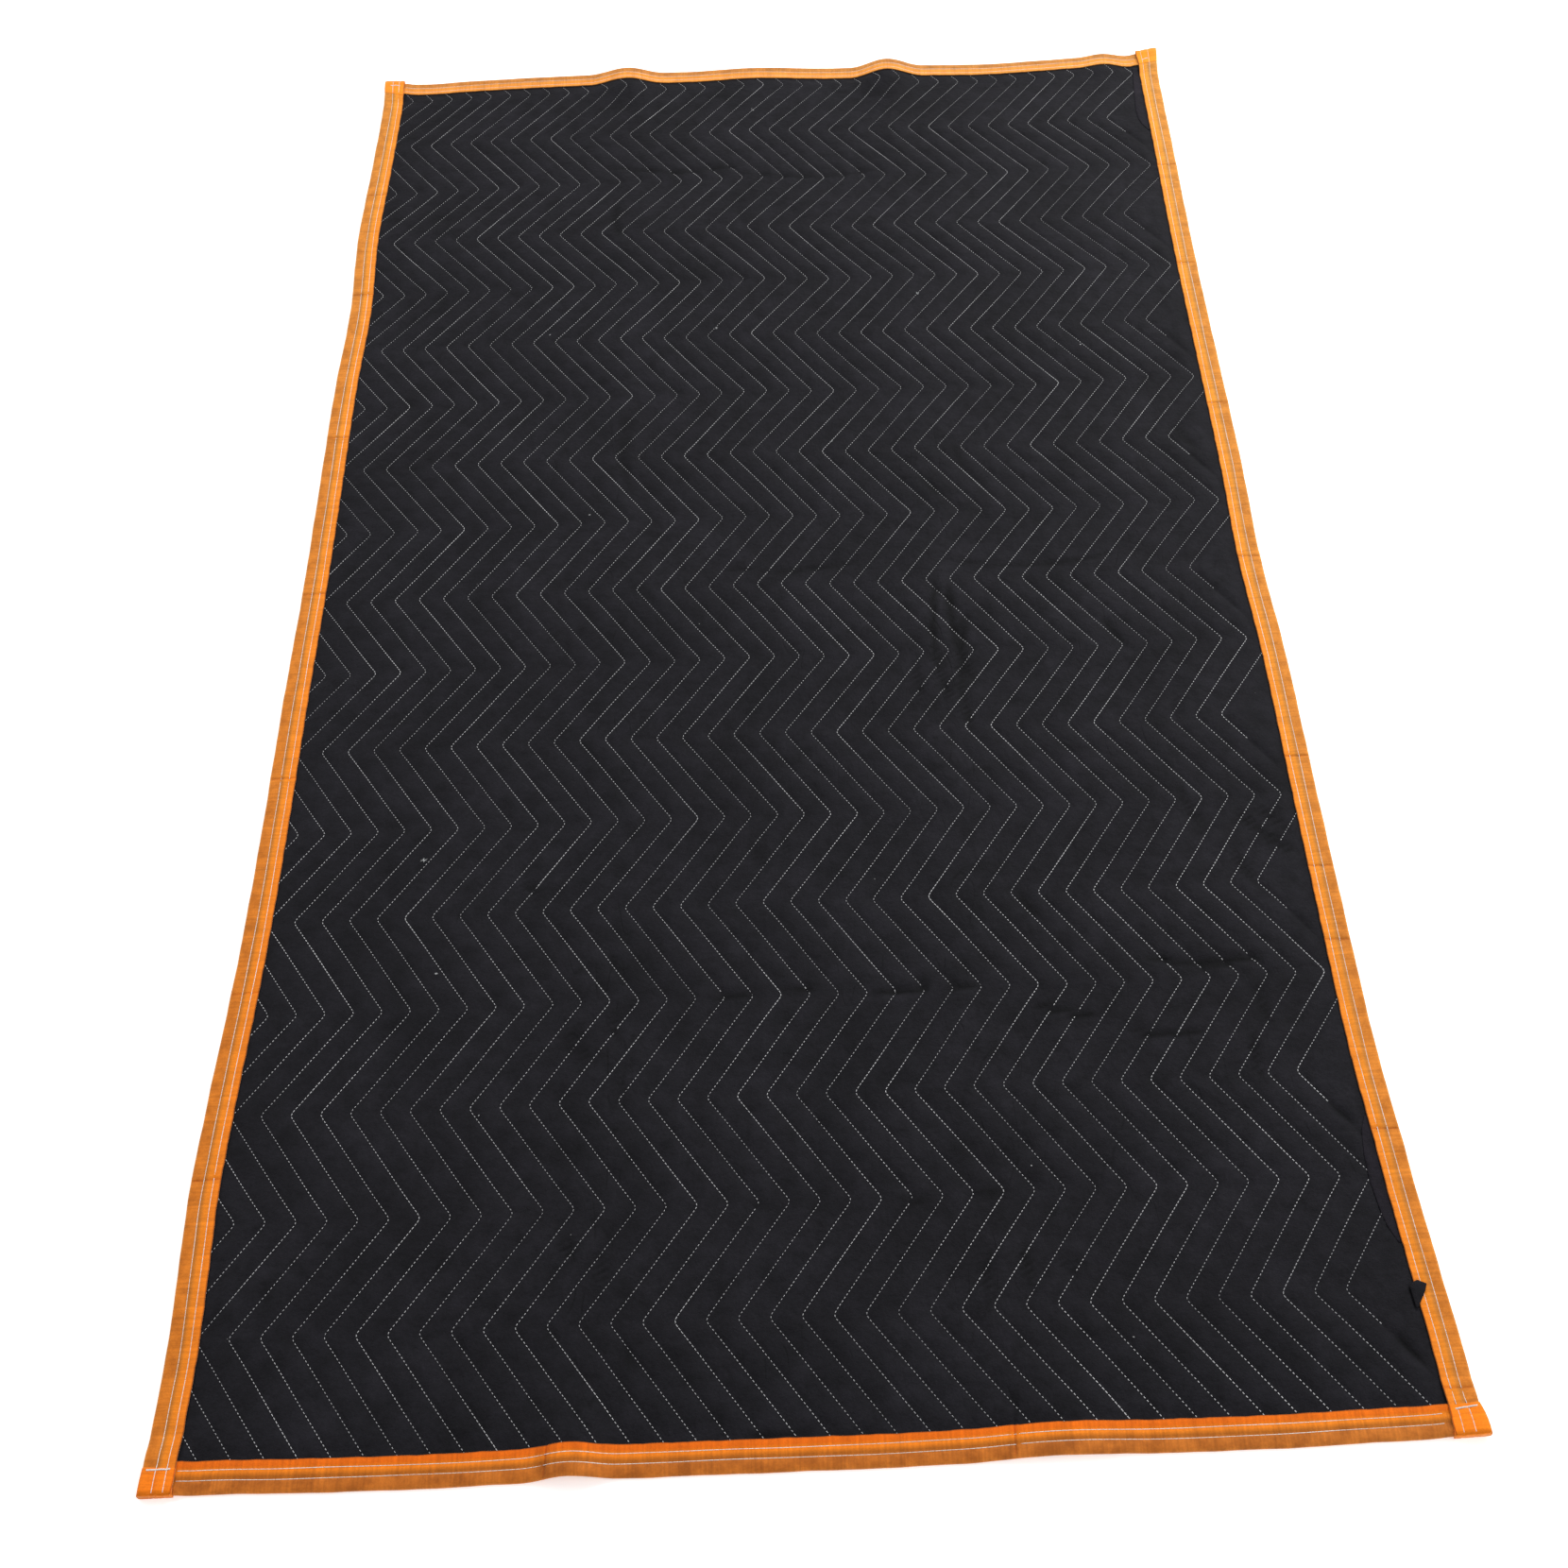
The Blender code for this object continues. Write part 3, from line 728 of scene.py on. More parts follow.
@dataclass(frozen=True)
class OrangeStripFinish:
    """Thin orange non-woven strip through which the black cloth shows at its outer edge.

    Attributes:
        name: The material's name.
        edge: Colour at the folded outer edge.
        outer: Colour of the band outside both seams.
        shade: Colour just inside the outer seam, a painted shade there.
        middle: Colour of the band between the seams.
        inner: Colour of the band inside both seams.
        lip: Colour along the inner edge, a painted shade there.
        strip_width: How much of the strip shows, in metres.
        blotches: How much the outer band is blotched.
        blotches_per_metre: How closely the blotches lie.
        pale_tint: How the colour turns paler and yellower towards the far right, a painted sheen.
        mark_tint: How a fold mark darkens it, a painted shade in the mark's trough.
        streaks: How many weft streaks fit in a metre along the strip, across it and up.
        fibres_per_metre: How closely its fibres lie.
        crumples_per_metre: How closely it is crumpled.
        dimples_per_metre: How closely it is pressed.
        sheen_tint: Colour of the light that its loose fibres catch.
    """

    name: str = "orange_nonwoven"
    edge: Colour = (0.66, 0.205, 0.030)
    outer: Colour = (0.52, 0.148, 0.018)
    shade: Colour = (0.46, 0.128, 0.011)
    middle: Colour = (0.80, 0.205, 0.010)
    inner: Colour = (0.80, 0.148, 0.0045)
    lip: Colour = (0.26, 0.055, 0.006)
    strip_width: float = 0.025
    blotches: float = 0.75
    blotches_per_metre: float = 75.0
    pale_tint: Colour = (1.04, 1.46, 2.7)
    mark_tint: Colour = (0.8, 0.68, 0.6)
    streaks: Triple = (420.0, 22.0, 1.0)
    fibres_per_metre: float = 650.0
    crumples_per_metre: float = 110.0
    dimples_per_metre: float = 1000.0
    sheen_tint: Colour = (1.0, 0.72, 0.38)

    def bands(self, make: Shading, depth: Socket) -> Socket:
        """Colour the bands between the seams, with blotches towards the outer edge.

        Args:
            make: The material.
            depth: Distance from the outer edge, in metres.

        Returns:
            The colour.
        """
        # The shade and lip stops are painted shade: just inside the outer seam, and along the inner
        # edge
        stops = [
            (0.0, self.edge),
            (0.10, self.outer),
            (0.37, self.outer),
            (0.49, self.shade),
            (0.62, self.middle),
            (0.72, self.middle),
            (0.82, self.inner),
            (0.955, self.inner),
            (0.99, self.lip),
        ]
        colour = make.ramp(make.spread(depth, 0.0, self.strip_width, (0.0, 1.0)), stops)
        blotch = make.noise(self.blotches_per_metre, 3.0, 0.6)
        shade = make.ramp(blotch, [(0.34, (0.62, 0.55, 0.5)), (0.62, (1.12, 1.1, 1.05))])
        share = make.spread(depth, 0.008, 0.014, (self.blotches, self.blotches * 0.35))
        return make.tint("MULTIPLY", share, colour, shade)

    def far_right(self, make: Shading) -> Socket:
        """Find how far towards the far right of the pad a point lies, which sets its painted sheen.

        Args:
            make: The material.

        Returns:
            A share from 0 to 1.
        """
        spot = make.split(make.place())
        farther = make.spread(spot["Y"], -0.9, 0.9, (0.0, 0.8))
        righter = make.spread(spot["X"], -0.5, 0.5, (-0.18, 0.18))
        return make.spread(make.compute("ADD", farther, righter), 0.0, 1.0, (0.0, 1.0))

    def make(self) -> bpy.types.Material:
        """Build the finish.

        Returns:
            Its material.
        """
        make = Shading(self.name)
        make.set(
            Roughness=0.7,
            Sheen_Weight=0.45,
            Sheen_Roughness=0.4,
            Sheen_Tint=self.sheen_tint,
            Specular_IOR_Level=0.12,
        )
        flat = make.add("ShaderNodeUVMap", uv_map=FLAT).outputs["UV"]
        depth = make.compute("ABSOLUTE", make.split(flat)["Y"])
        mark = make.add("ShaderNodeAttribute", attribute_name=HOLLOW).outputs["Fac"]
        streak = make.noise(1.0, 3.0, at=make.stretch(flat, self.streaks))
        fibre = make.noise(self.fibres_per_metre, 4.0, 0.7)
        colour = self.bands(make, depth)
        # Painted sheen: paler and yellower towards the far right
        colour = make.tint("MULTIPLY", self.far_right(make), colour, self.pale_tint)
        # Painted shade in the troughs of fold marks
        colour = make.tint("MULTIPLY", mark, colour, self.mark_tint)
        colour = make.shade(colour, streak, 0.3, 0.7, (0.84, 1.12))
        colour = make.shade(colour, fibre, 0.3, 0.75, (0.9, 1.1))
        make.set(Base_Color=colour)
        make.bump(streak, 0.0004, 0.7)
        make.bump(make.noise(self.crumples_per_metre, 4.0, 0.6), 0.0007, 0.6)
        make.bump(make.dimples(self.dimples_per_metre), 0.0002, 0.6)
        return make.material


@dataclass(frozen=True)
class ThreadFinish:
    """White sewing thread with its twist.

    Attributes:
        name: The material's name.
        pale: Colour of its palest stitches.
        dull: Colour of its dullest stitches.
        patches_per_metre: How closely the pale and dull stretches lie.
        twists_per_metre: How closely it is twisted.
    """

    name: str = "white_thread"
    pale: Colour = (0.72, 0.72, 0.72)
    dull: Colour = (0.34, 0.34, 0.35)
    patches_per_metre: float = 6.0
    twists_per_metre: float = 1800.0

    def make(self) -> bpy.types.Material:
        """Build the finish.

        Returns:
            Its material.
        """
        make = Shading(self.name)
        make.set(Roughness=0.6, Sheen_Weight=0.2)
        patch = make.noise(self.patches_per_metre, 3.0, 0.6)
        twist = make.noise(self.twists_per_metre, 2.0)
        colour = make.ramp(patch, [(0.36, self.dull), (0.66, self.pale)])
        colour = make.shade(colour, twist, 0.35, 0.65, (0.8, 1.12))
        make.set(Base_Color=colour)
        make.bump(twist, 0.0001, 0.6)
        return make.material


class Finish(Enum):
    """The finishes of the pad's pieces."""

    BLACK_CLOTH = BlackClothFinish()
    ORANGE_STRIP = OrangeStripFinish()
    # The long strips' tape: the same bands, brighter and yellower as painted sheen
    ORANGE_SIDE_STRIP = OrangeStripFinish(
        name="orange_nonwoven_lengthwise",
        edge=(0.79, 0.290, 0.042),
        outer=(0.65, 0.190, 0.018),
        shade=(0.49, 0.165, 0.022),
        middle=(0.80, 0.226, 0.0135),
        inner=(0.84, 0.218, 0.0125),
        lip=(0.36, 0.082, 0.008),
        blotches=0.6,
    )
    # The far strip's tape: the same bands, paler as painted sheen
    ORANGE_FAR_STRIP = OrangeStripFinish(
        name="orange_nonwoven_far",
        edge=(0.70, 0.250, 0.045),
        outer=(0.56, 0.165, 0.020),
        shade=(0.66, 0.200, 0.026),
        middle=(0.80, 0.222, 0.020),
        inner=(0.82, 0.232, 0.022),
        lip=(0.40, 0.110, 0.012),
        blotches=0.6,
    )
    FOLDED_END = OrangeStripFinish(
        name="orange_folded_end",
        edge=(0.98, 0.235, 0.010),
        outer=(0.98, 0.228, 0.009),
        shade=(0.92, 0.205, 0.009),
        middle=(0.98, 0.228, 0.008),
        inner=(0.98, 0.225, 0.008),
        lip=(0.66, 0.120, 0.005),
        blotches=0.25,
    )
    BLACK_BACKING = BlackClothFinish(
        name="black_backing",
        deep=(0.0074, 0.0060, 0.0090),
        worn=(0.0120, 0.0100, 0.0148),
    )
    WHITE_LINT = ThreadFinish(name="white_lint", pale=(0.5, 0.52, 0.53), dull=(0.3, 0.3, 0.3))
    QUILTING_THREAD = ThreadFinish(
        name="quilting_thread",
        pale=(0.66, 0.66, 0.67),
        dull=(0.34, 0.34, 0.35),
    )
    BINDING_THREAD = ThreadFinish(
        name="binding_thread",
        pale=(0.90, 0.84, 0.80),
        dull=(0.74, 0.62, 0.54),
    )

    def material(self) -> bpy.types.Material:
        """The finish's material, made on first use."""
        made = bpy.data.materials.get(self.value.name)
        return made or self.value.make()


@dataclass
class Cloth:
    """Points and faces of one piece, gathered before it becomes an object.

    Attributes:
        points: Rows of points, in metres.
        faces: The points' numbers round each face.
        flat: The points' places on the flat strip.
        hollow: How deep in a hollow each point lies, which sets its painted shade.
        slots: The number of each face's finish.
        count: How many points there are.
    """

    points: List[Array] = field(default_factory=list)
    faces: List[Face] = field(default_factory=list)
    flat: List[Array] = field(default_factory=list)
    hollow: List[Array] = field(default_factory=list)
    slots: List[int] = field(default_factory=list)
    count: int = 0

    def add_points(
        self,
        points: Array,
        flat: Optional[Array] = None,
        hollow: Optional[Array] = None,
    ) -> Array:
        """Add points.

        Args:
            points: One row of three metres for each point, in any grid shape.
            flat: Their places on the flat strip, in metres, two to a point.
            hollow: How deep in a channel or crease each lies, from 0 to 1, which sets its painted
                shade.

        Returns:
            The points' numbers, in the grid's shape.
        """
        shape = points.shape[:-1]
        rows = points.reshape(-1, 3)
        self.points.append(rows)
        self.flat.append(np.zeros((len(rows), 2)) if flat is None else flat.reshape(-1, 2))
        self.hollow.append(np.zeros(len(rows)) if hollow is None else hollow.ravel())
        numbers = np.arange(self.count, self.count + len(rows)).reshape(shape)
        self.count += len(rows)
        return numbers

    def add_face(self, corners: Sequence[int], slot: int = 0) -> None:
        """Add one face, leaving out repeated corners.

        Args:
            corners: The points' numbers round it.
            slot: The number of its finish.
        """
        kept: List[int] = []
        for corner in corners:
            if int(corner) not in kept:
                kept.append(int(corner))
        if len(kept) > 2:
            self.faces.append(tuple(kept))
            self.slots.append(slot)

    def add_grid(
        self,
        numbers: Array,
        slots: Optional[Array] = None,
        flip: bool = False,
    ) -> None:
        """Add the faces between the rows and columns of a grid of point numbers.

        Args:
            numbers: The grid.
            slots: The number of each face's finish, if not 0.
            flip: Whether the faces look the other way.
        """
        for row in range(numbers.shape[0] - 1):
            for column in range(numbers.shape[1] - 1):
                corners = [
                    numbers[row, column],
                    numbers[row, column + 1],
                    numbers[row + 1, column + 1],
                    numbers[row + 1, column],
                ]
                if flip:
                    corners.reverse()
                self.add_face(corners, 0 if slots is None else int(slots[row, column]))

    def drop_unused(self) -> None:
        """Leave out the points that no face uses."""
        used = np.unique(np.concatenate([np.array(corners) for corners in self.faces]))
        renumber = np.full(self.count, -1)
        renumber[used] = np.arange(len(used))
        self.points = [np.concatenate(self.points)[used]]
        self.flat = [np.concatenate(self.flat)[used]]
        self.hollow = [np.concatenate(self.hollow)[used]]
        self.faces = [tuple(renumber[list(corners)].tolist()) for corners in self.faces]
        self.count = len(used)

    def make(
        self,
        name: str,
        finishes: Sequence[Finish],
        slot: Optional[str] = None,
    ) -> bpy.types.Object:
        """Turn the gathered cloth into an object that rides on the pad's body.

        Args:
            name: The piece's name.
            finishes: The finish of each of its slots.
            slot: The record's material slot; not used.

        Returns:
            The new object.
        """
        mesh = bpy.data.meshes.new(name)
        points = np.concatenate(self.points)
        mesh.from_pydata(points.tolist(), [], self.faces)
        corners = np.zeros(len(mesh.loops), dtype=np.int32)
        mesh.loops.foreach_get("vertex_index", corners)
        layer = mesh.uv_layers.new(name=FLAT)
        flat = np.concatenate(self.flat)[corners].astype(np.float32)
        layer.uv.foreach_set("vector", flat.ravel())
        # The hollow layer, which the finishes read for painted shade
        shade = mesh.attributes.new(HOLLOW, "FLOAT", "POINT")
        shade.data.foreach_set("value", np.concatenate(self.hollow).astype(np.float32))
        mesh.polygons.foreach_set("material_index", np.array(self.slots, dtype=np.int32))
        mesh.polygons.foreach_set("use_smooth", np.full(len(self.faces), True))
        for finish in finishes:
            mesh.materials.append(finish.material())
        shell = bmesh.new()
        shell.from_mesh(mesh)
        bmesh.ops.recalc_face_normals(shell, faces=shell.faces)
        shell.to_mesh(mesh)
        shell.free()
        mesh.update()
        piece = bpy.data.objects.new(name, mesh)
        bpy.context.scene.collection.objects.link(piece)
        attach(piece, BODY)
        triangles = sum(len(face) - 2 for face in self.faces)
        LOG.info("%s: %d triangles", name, triangles)
        return piece


@dataclass(frozen=True)
class Zigzag:
    """The zigzag lines in which the pad is quilted, in millimetres.

    Attributes:
        pitch: Distance between lines across the pad.
        first_x: Pattern x of line 0 at a left turn.
        turn_step: Distance along the pad from a turn to the next.
        first_turn: Pattern y of the first turn, a right one.
        swing: How far a line swings across the pad.
        softness: Half length over which a turn is rounded.
        sunken_share: How much of the rightmost line's strokes to a right turn has sunk.
        first_line: Number of the leftmost line.
        last_line: Number of the rightmost line.
    """

    pitch: float = 25.5
    first_x: float = 44.5
    turn_step: float = 98.2
    first_turn: float = 22.4
    swing: float = 71.4
    softness: float = 3.5
    sunken_share: float = 0.68
    first_line: int = -4
    last_line: int = 35

    def sway(self, y: Array) -> Array:
        """How far the lines have swung towards +x at y, 0 at a left turn.

        Args:
            y: Pattern y.

        Returns:
            The swing, in millimetres.
        """
        turns = (y - self.first_turn) / self.turn_step
        sharp = np.abs((turns % 2.0) - 1.0)
        soft = self.softness / self.turn_step
        low = np.where(sharp < soft, (sharp * sharp + soft * soft) / (2 * soft), sharp)
        top = 1.0 - sharp
        high = np.where(top < soft, 1.0 - (top * top + soft * soft) / (2 * soft), low)
        return self.swing * high

    def to_stitch(self, line: Array) -> Array:
        """How far the nearest sewn line is, in pitches, up to a half."""
        nearest = np.clip(np.round(line), self.first_line, self.last_line)
        return np.minimum(np.abs(line - nearest), 0.5)

    def line_near(self, x: Array, y: Array) -> Array:
        """Which line, or place between two lines, lies at x and y, leaving out their drift."""
        return (x - self.first_x - self.sway(y)) / self.pitch

    def sunken(self, y: Array) -> Array:
        """Where the rightmost line's thread has sunk in, on its way to a right turn."""
        turns = (y - self.first_turn) / self.turn_step
        return (np.floor(turns) % 2 == 0) & (turns % 1.0 < self.sunken_share)

    def x_at(self, line: Array, y: Array) -> Array:
        """Pattern x of a line, which may be a fraction between two lines, at y.

        Args:
            line: The line, or place between two.
            y: Pattern y.

        Returns:
            Its pattern x.
        """
        share = np.clip(line / (self.last_line - 1.0), 0.0, 1.0)
        left = table_curve(LINE_DRIFTS, "left", y)
        middle = table_curve(LINE_DRIFTS, "middle", y)
        right = table_curve(LINE_DRIFTS, "right", y)
        bend = 4.0 * share * (1.0 - share)
        drift = left + (right - left) * share + (middle - (left + right) / 2) * bend
        return self.first_x + line * self.pitch + self.sway(y) + drift


@dataclass(frozen=True)
class QuiltedCloth:
    """The padded cloth with its zigzag channels, crests and creases.

    Attributes:
        lay: How the pad lies.
        edge: The layers in the binding.
        lines: The quilting lines.
        stitched: Thickness at a stitch line.
        crest: Thickness between stitch lines.
        rise_width: Width over which it rises to its full thickness beside the binding.
        clip: How far inside the binding the visual cloth ends.
        row_step: Length of a cell of the face's grid along the pad.
        back_step: The same for the underside.
        channel_depth: How deep the stitch lines are drawn into the underside.
        channel_sharpness: How steeply the cloth rises beside a stitch line.
        puff_wave: Longest wave of the crests' height along the pad.
        pucker_height: Height of the gathers beside a line.
        pucker_place: Where they stand, in pitches from the line.
        pucker_reach: How far they reach from there, in pitches.
        pucker_wave: Longest wave of the gathers along the line.
        uneven_height: Height of the face's broad waves.
        wrinkle_height: Height of its wrinkles.
        channel_shade: How dark the painted shade in a stitch line's channel is, from 0 to 1.
        channel_reach: How far that reaches from the line, in pitches.
        full_crease: Depth at which a crease's painted shade is darkest.
        face_columns: Places of the face's grid columns between two lines.
        back_columns: The same for the underside.
        creases: The creases in the face.
    """

    lay: PadLay
    edge: SewnEdge
    lines: Zigzag
    stitched: float = 3.4
    crest: float = 5.3
    rise_width: float = 10.0
    clip: float = 12.0
    row_step: float = 5.46
    back_step: float = 24.55
    channel_depth: float = 0.8
    channel_sharpness: float = 2.3
    puff_wave: float = 170.0
    pucker_height: float = 0.42
    pucker_place: float = 0.14
    pucker_reach: float = 0.11
    pucker_wave: float = 23.0
    uneven_height: float = 0.35
    wrinkle_height: float = 0.2
    channel_shade: float = 0.22
    channel_reach: float = 0.07
    full_crease: float = 1.5
    face_columns: Tuple[float, ...] = (0.0, 0.09, 0.27, 0.5, 0.73, 0.91)
    back_columns: Tuple[float, ...] = (0.0, 0.2, 0.5, 0.8)
    creases: Tuple[Crease, ...] = ()

    def rise(self, x: Array, y: Array) -> Array:
        """0 at the binding's edge, 1 where the quilting stands at its full height.

        Args:
            x: Pattern x.
            y: Pattern y.

        Returns:
            The share.
        """
        distance = np.minimum(self.lay.from_side(x), self.lay.from_end(y))
        start = self.edge.strip_width + 1.0
        return ramp(distance, start, start + self.rise_width)

    def corner_lift(self, x: Array, y: Array) -> Array:
        """How far the cloth is lifted in a corner by the strip folded under it."""
        share = self.edge.corner_share
        return self.edge.corner_lift * share(self.lay.from_side(x)) * share(self.lay.from_end(y))

    def puff(self, line: Array, y: Array) -> Array:
        """How far the cloth stands up between two lines, from 0 on a line to about 1.

        Args:
            line: The line, or place between two.
            y: Pattern y.

        Returns:
            The share of its full swell.
        """
        cell = np.floor(line)
        pillow = 1.0 - (1.0 - 2.0 * self.lines.to_stitch(line)) ** self.channel_sharpness
        return pillow * (0.88 + 0.12 * waver(y + 37.0 * cell, self.puff_wave, cell))

    def pucker(self, line: Array, y: Array) -> Array:
        """Small gathers that the tight thread draws up on both sides of a line.

        Args:
            line: The line, or place between two.
            y: Pattern y.

        Returns:
            Their height.
        """
        off = (self.lines.to_stitch(line) - self.pucker_place) / self.pucker_reach
        row = np.floor(line + 0.5)
        slanted = y + 3.0 * (line % 1.0 - 0.5) * self.lines.pitch
        gather = waver(slanted, self.pucker_wave, 1.7 * row)
        strength = 0.55 + 0.45 * waver(y, 310.0, 2.1 * row)
        return self.pucker_height * np.exp(-(off ** 2)) * gather * strength

    def crease_height(self, x: Array, y: Array) -> Array:
        """Height that the creases add to the face.

        Args:
            x: Pattern x.
            y: Pattern y.

        Returns:
            The height, less than 0 in a trough.
        """
        total = np.zeros(np.broadcast(x, y).shape)
        for crease in self.creases:
            run_x = crease.to_x - crease.x
            run_y = crease.to_y - crease.y
            length = math.hypot(run_x, run_y)
            along = ((x - crease.x) * run_x + (y - crease.y) * run_y) / length
            aside = ((x - crease.x) * run_y - (y - crease.y) * run_x) / length
            outside, inside = crease.half_width, 3 * crease.half_width
            begun = ramp(along, -outside, inside)
            ended = ramp(along, length - inside, length + outside)
            bow = aside - 0.06 * length * np.sin(math.pi * np.clip(along / length, 0.0, 1.0))
            trough = crease.height * hump(bow, crease.half_width)
            total = total + trough * begun * (1.0 - ended)
        return total

    def face_height(self, x: Array, y: Array, line: Array) -> Array:
        """Height of the face over the cloth's underside.

        Args:
            x: Pattern x.
            y: Pattern y.
            line: The line, or place between two.

        Returns:
            The height.
        """
        swell = (self.crest - self.stitched) * self.puff(line, y)
        broad = waver(x + 0.4 * y, 260.0, 0.4) * waver(y - 0.3 * x, 330.0, 1.9)
        fine = waver(y + 0.7 * x, 31.0, 0.9) * waver(x - 0.5 * y, 37.0, 2.2)
        uneven = self.uneven_height * broad + self.wrinkle_height * fine
        full = self.stitched + swell + self.pucker(line, y) + uneven + self.crease_height(x, y)
        level = self.edge.panel_top
        return level + (full - level) * self.rise(x, y) + self.corner_lift(x, y)

    def hollow_share(self, x: Array, y: Array, line: Array) -> Array:
        """How deep in a channel or crease the face lies, from 0 to 1, which sets the painted shade
        there.

        Args:
            x: Pattern x.
            y: Pattern y.
            line: The line, or place between two.

        Returns:
            The share.
        """
        off = self.lines.to_stitch(line) / self.channel_reach
        # Painted shade along each stitch line's channel, and in the creases' troughs
        channel = self.channel_shade * np.exp(-(off ** 2))
        crease = np.clip(-self.crease_height(x, y) / self.full_crease, 0.0, 1.0)
        return np.clip(channel + crease, 0.0, 1.0)

    def back_height(self, x: Array, y: Array, line: Array) -> Array:
        """Height of the underside.

        Args:
            x: Pattern x.
            y: Pattern y.
            line: The line, or place between two.

        Returns:
            The height.
        """
        part = line % 1.0
        channel = self.channel_depth * np.abs(2.0 * part - 1.0) ** self.channel_sharpness
        rise = self.rise(x, y)
        return self.edge.panel_bottom * (1.0 - rise) + channel * rise + self.corner_lift(x, y)

    def grid(
        self,
        cloth: Cloth,
        step: float,
        columns: Sequence[float],
        height: Callable[[Array, Array, Array], Array],
        flip: bool,
    ) -> List[Tuple[float, int]]:
        """Add one side of the cloth, cut to a rectangle inside the binding.

        Args:
            cloth: Receives the points and faces.
            step: Length of a cell along the pad.
            columns: Places of the grid's columns between two lines.
            height: Height of this side at x, y and line.
            flip: Whether the faces look down.

        Returns:
            The rectangle's points in order, each with its place round the rectangle.
        """
        lay, lines = self.lay, self.lines
        low, high_x, high_y = self.clip, lay.width - self.clip, lay.length - self.clip
        per_turn = max(round(lines.turn_step / step), 1)
        turns = math.ceil(lay.length / lines.turn_step) + 1
        turn = np.arange(-per_turn, turns * per_turn) / per_turn
        rows = lines.first_turn + lines.turn_step * turn
        rows = np.concatenate([[low], rows[(rows > low + 1.0) & (rows < high_y - 1.0)], [high_y]])
        first = math.floor((low - lines.first_x - lines.swing) / lines.pitch) - 1
        last = math.ceil((high_x - lines.first_x) / lines.pitch) + 1
        line = (np.arange(first, last)[:, None] + np.array(columns)[None, :]).ravel()
        y = np.repeat(rows[:, None], len(line), axis=1)
        line = np.repeat(line[None, :], len(rows), axis=0)
        x = np.clip(lines.x_at(line, y), low, high_x)
        points = lay.lay(x, y, height(x, y, line))
        # The hollow layer sets the painted shade in channels and creases
        numbers = cloth.add_points(points, hollow=self.hollow_share(x, y, line))
        left = np.sum(x <= low, axis=1) - 1
        right = x.shape[1] - np.sum(x >= high_x, axis=1)
        for row in range(len(rows)):
            numbers[row, : left[row]] = numbers[row, left[row]]
            numbers[row, right[row] :] = numbers[row, right[row]]
        cloth.add_grid(numbers, flip=flip)
        near = zip((x[0] - low) / (high_x - low), numbers[0])
        ring = [(place, int(number)) for place, number in near]
        side = (rows - low) / (high_y - low)
        ring += [(1.0 + side[row], int(numbers[row, -1])) for row in range(1, len(rows))]
        far = zip(3.0 - (x[-1][::-1] - low) / (high_x - low), numbers[-1][::-1])
        ring += [(place, int(number)) for place, number in far]
        ring += [(4.0 - side[row], int(numbers[row, 0])) for row in range(len(rows) - 2, 0, -1)]
        kept: List[Tuple[float, int]] = []
        for place, number in ring:
            if not kept or kept[-1][1] != number:
                kept.append((float(place), number))
        return kept

    @staticmethod
    def close(cloth: Cloth, face: List[Tuple[float, int]], back: List[Tuple[float, int]]) -> None:
        """Join the face's ring to the underside's with a strip of triangles.

        Args:
            cloth: Receives them.
            face: The face's ring, as grid gives it.
            back: The underside's ring.
        """
        near = 0
        far = 0
        while near < len(face) or far < len(back):
            next_near = face[near + 1][0] if near + 1 < len(face) else 4.0
            next_far = back[far + 1][0] if far + 1 < len(back) else 4.0
            start = face[near % len(face)][1]
            other = back[far % len(back)][1]
            if far >= len(back) or (near < len(face) and next_near <= next_far):
                near += 1
                cloth.add_face((start, face[near % len(face)][1], other))
            else:
                far += 1
                cloth.add_face((start, back[far % len(back)][1], other))

    def build(self) -> bpy.types.Object:
        """Make the quilted cloth as one closed piece.

        Returns:
            The piece.
        """
        cloth = Cloth()
        face = self.grid(cloth, self.row_step, self.face_columns, self.face_height, flip=False)
        back = self.grid(cloth, self.back_step, self.back_columns, self.back_height, flip=True)
        self.close(cloth, face, back)
        cloth.drop_unused()
        piece = cloth.make("quilted_cloth", [Finish.BLACK_CLOTH], BLACK_CLOTH)
        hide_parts("quilted_panel")
        return piece


# A stitch's faces: its points are one end, two rings of three (side, top, side) and the other end
STITCH_FACES = (
    (0, 1, 2), (0, 2, 3), (0, 3, 1),
    (1, 4, 5, 2), (2, 5, 6, 3), (3, 6, 4, 1),
    (7, 5, 4), (7, 6, 5), (7, 4, 6),
)
STITCH_POINTS = 8

# Where the two rings stand along a stitch, how deep its ends dip and how deep its sides do
RING_PLACES = (0.16, 0.84)
END_DIP = 0.35
SIDE_DIP = 0.07


class Stitches(NamedTuple):
    """Stitches in a row or in many, one to a place in each column, in metres.

    Attributes:
        starts: Where each stitch comes up.
        ends: Where it goes down.
        widths: Width of its thread.
        heights: How far it stands off the cloth.
    """

    starts: Array
    ends: Array
    widths: Array
    heights: Array

    @classmethod
    def even(cls, starts: Array, ends: Array, width: float, height: float) -> "Stitches":
        """Make stitches of one thread and height.

        Args:
            starts: Where each stitch comes up, in metres.
            ends: Where it goes down.
            width: Width of the thread, in millimetres.
            height: How far each stands off the cloth, in millimetres.

        Returns:
            The stitches.
        """
        count = len(starts)
        widths = np.full(count, width * METRES_PER_MM)
        return cls(starts, ends, widths, np.full(count, height * METRES_PER_MM))

    @classmethod
    def joined(cls, parts: "Sequence[Stitches]") -> "Stitches":
        """Put several lots of stitches into one."""
        return cls(*[np.concatenate(column) for column in zip(*parts)])


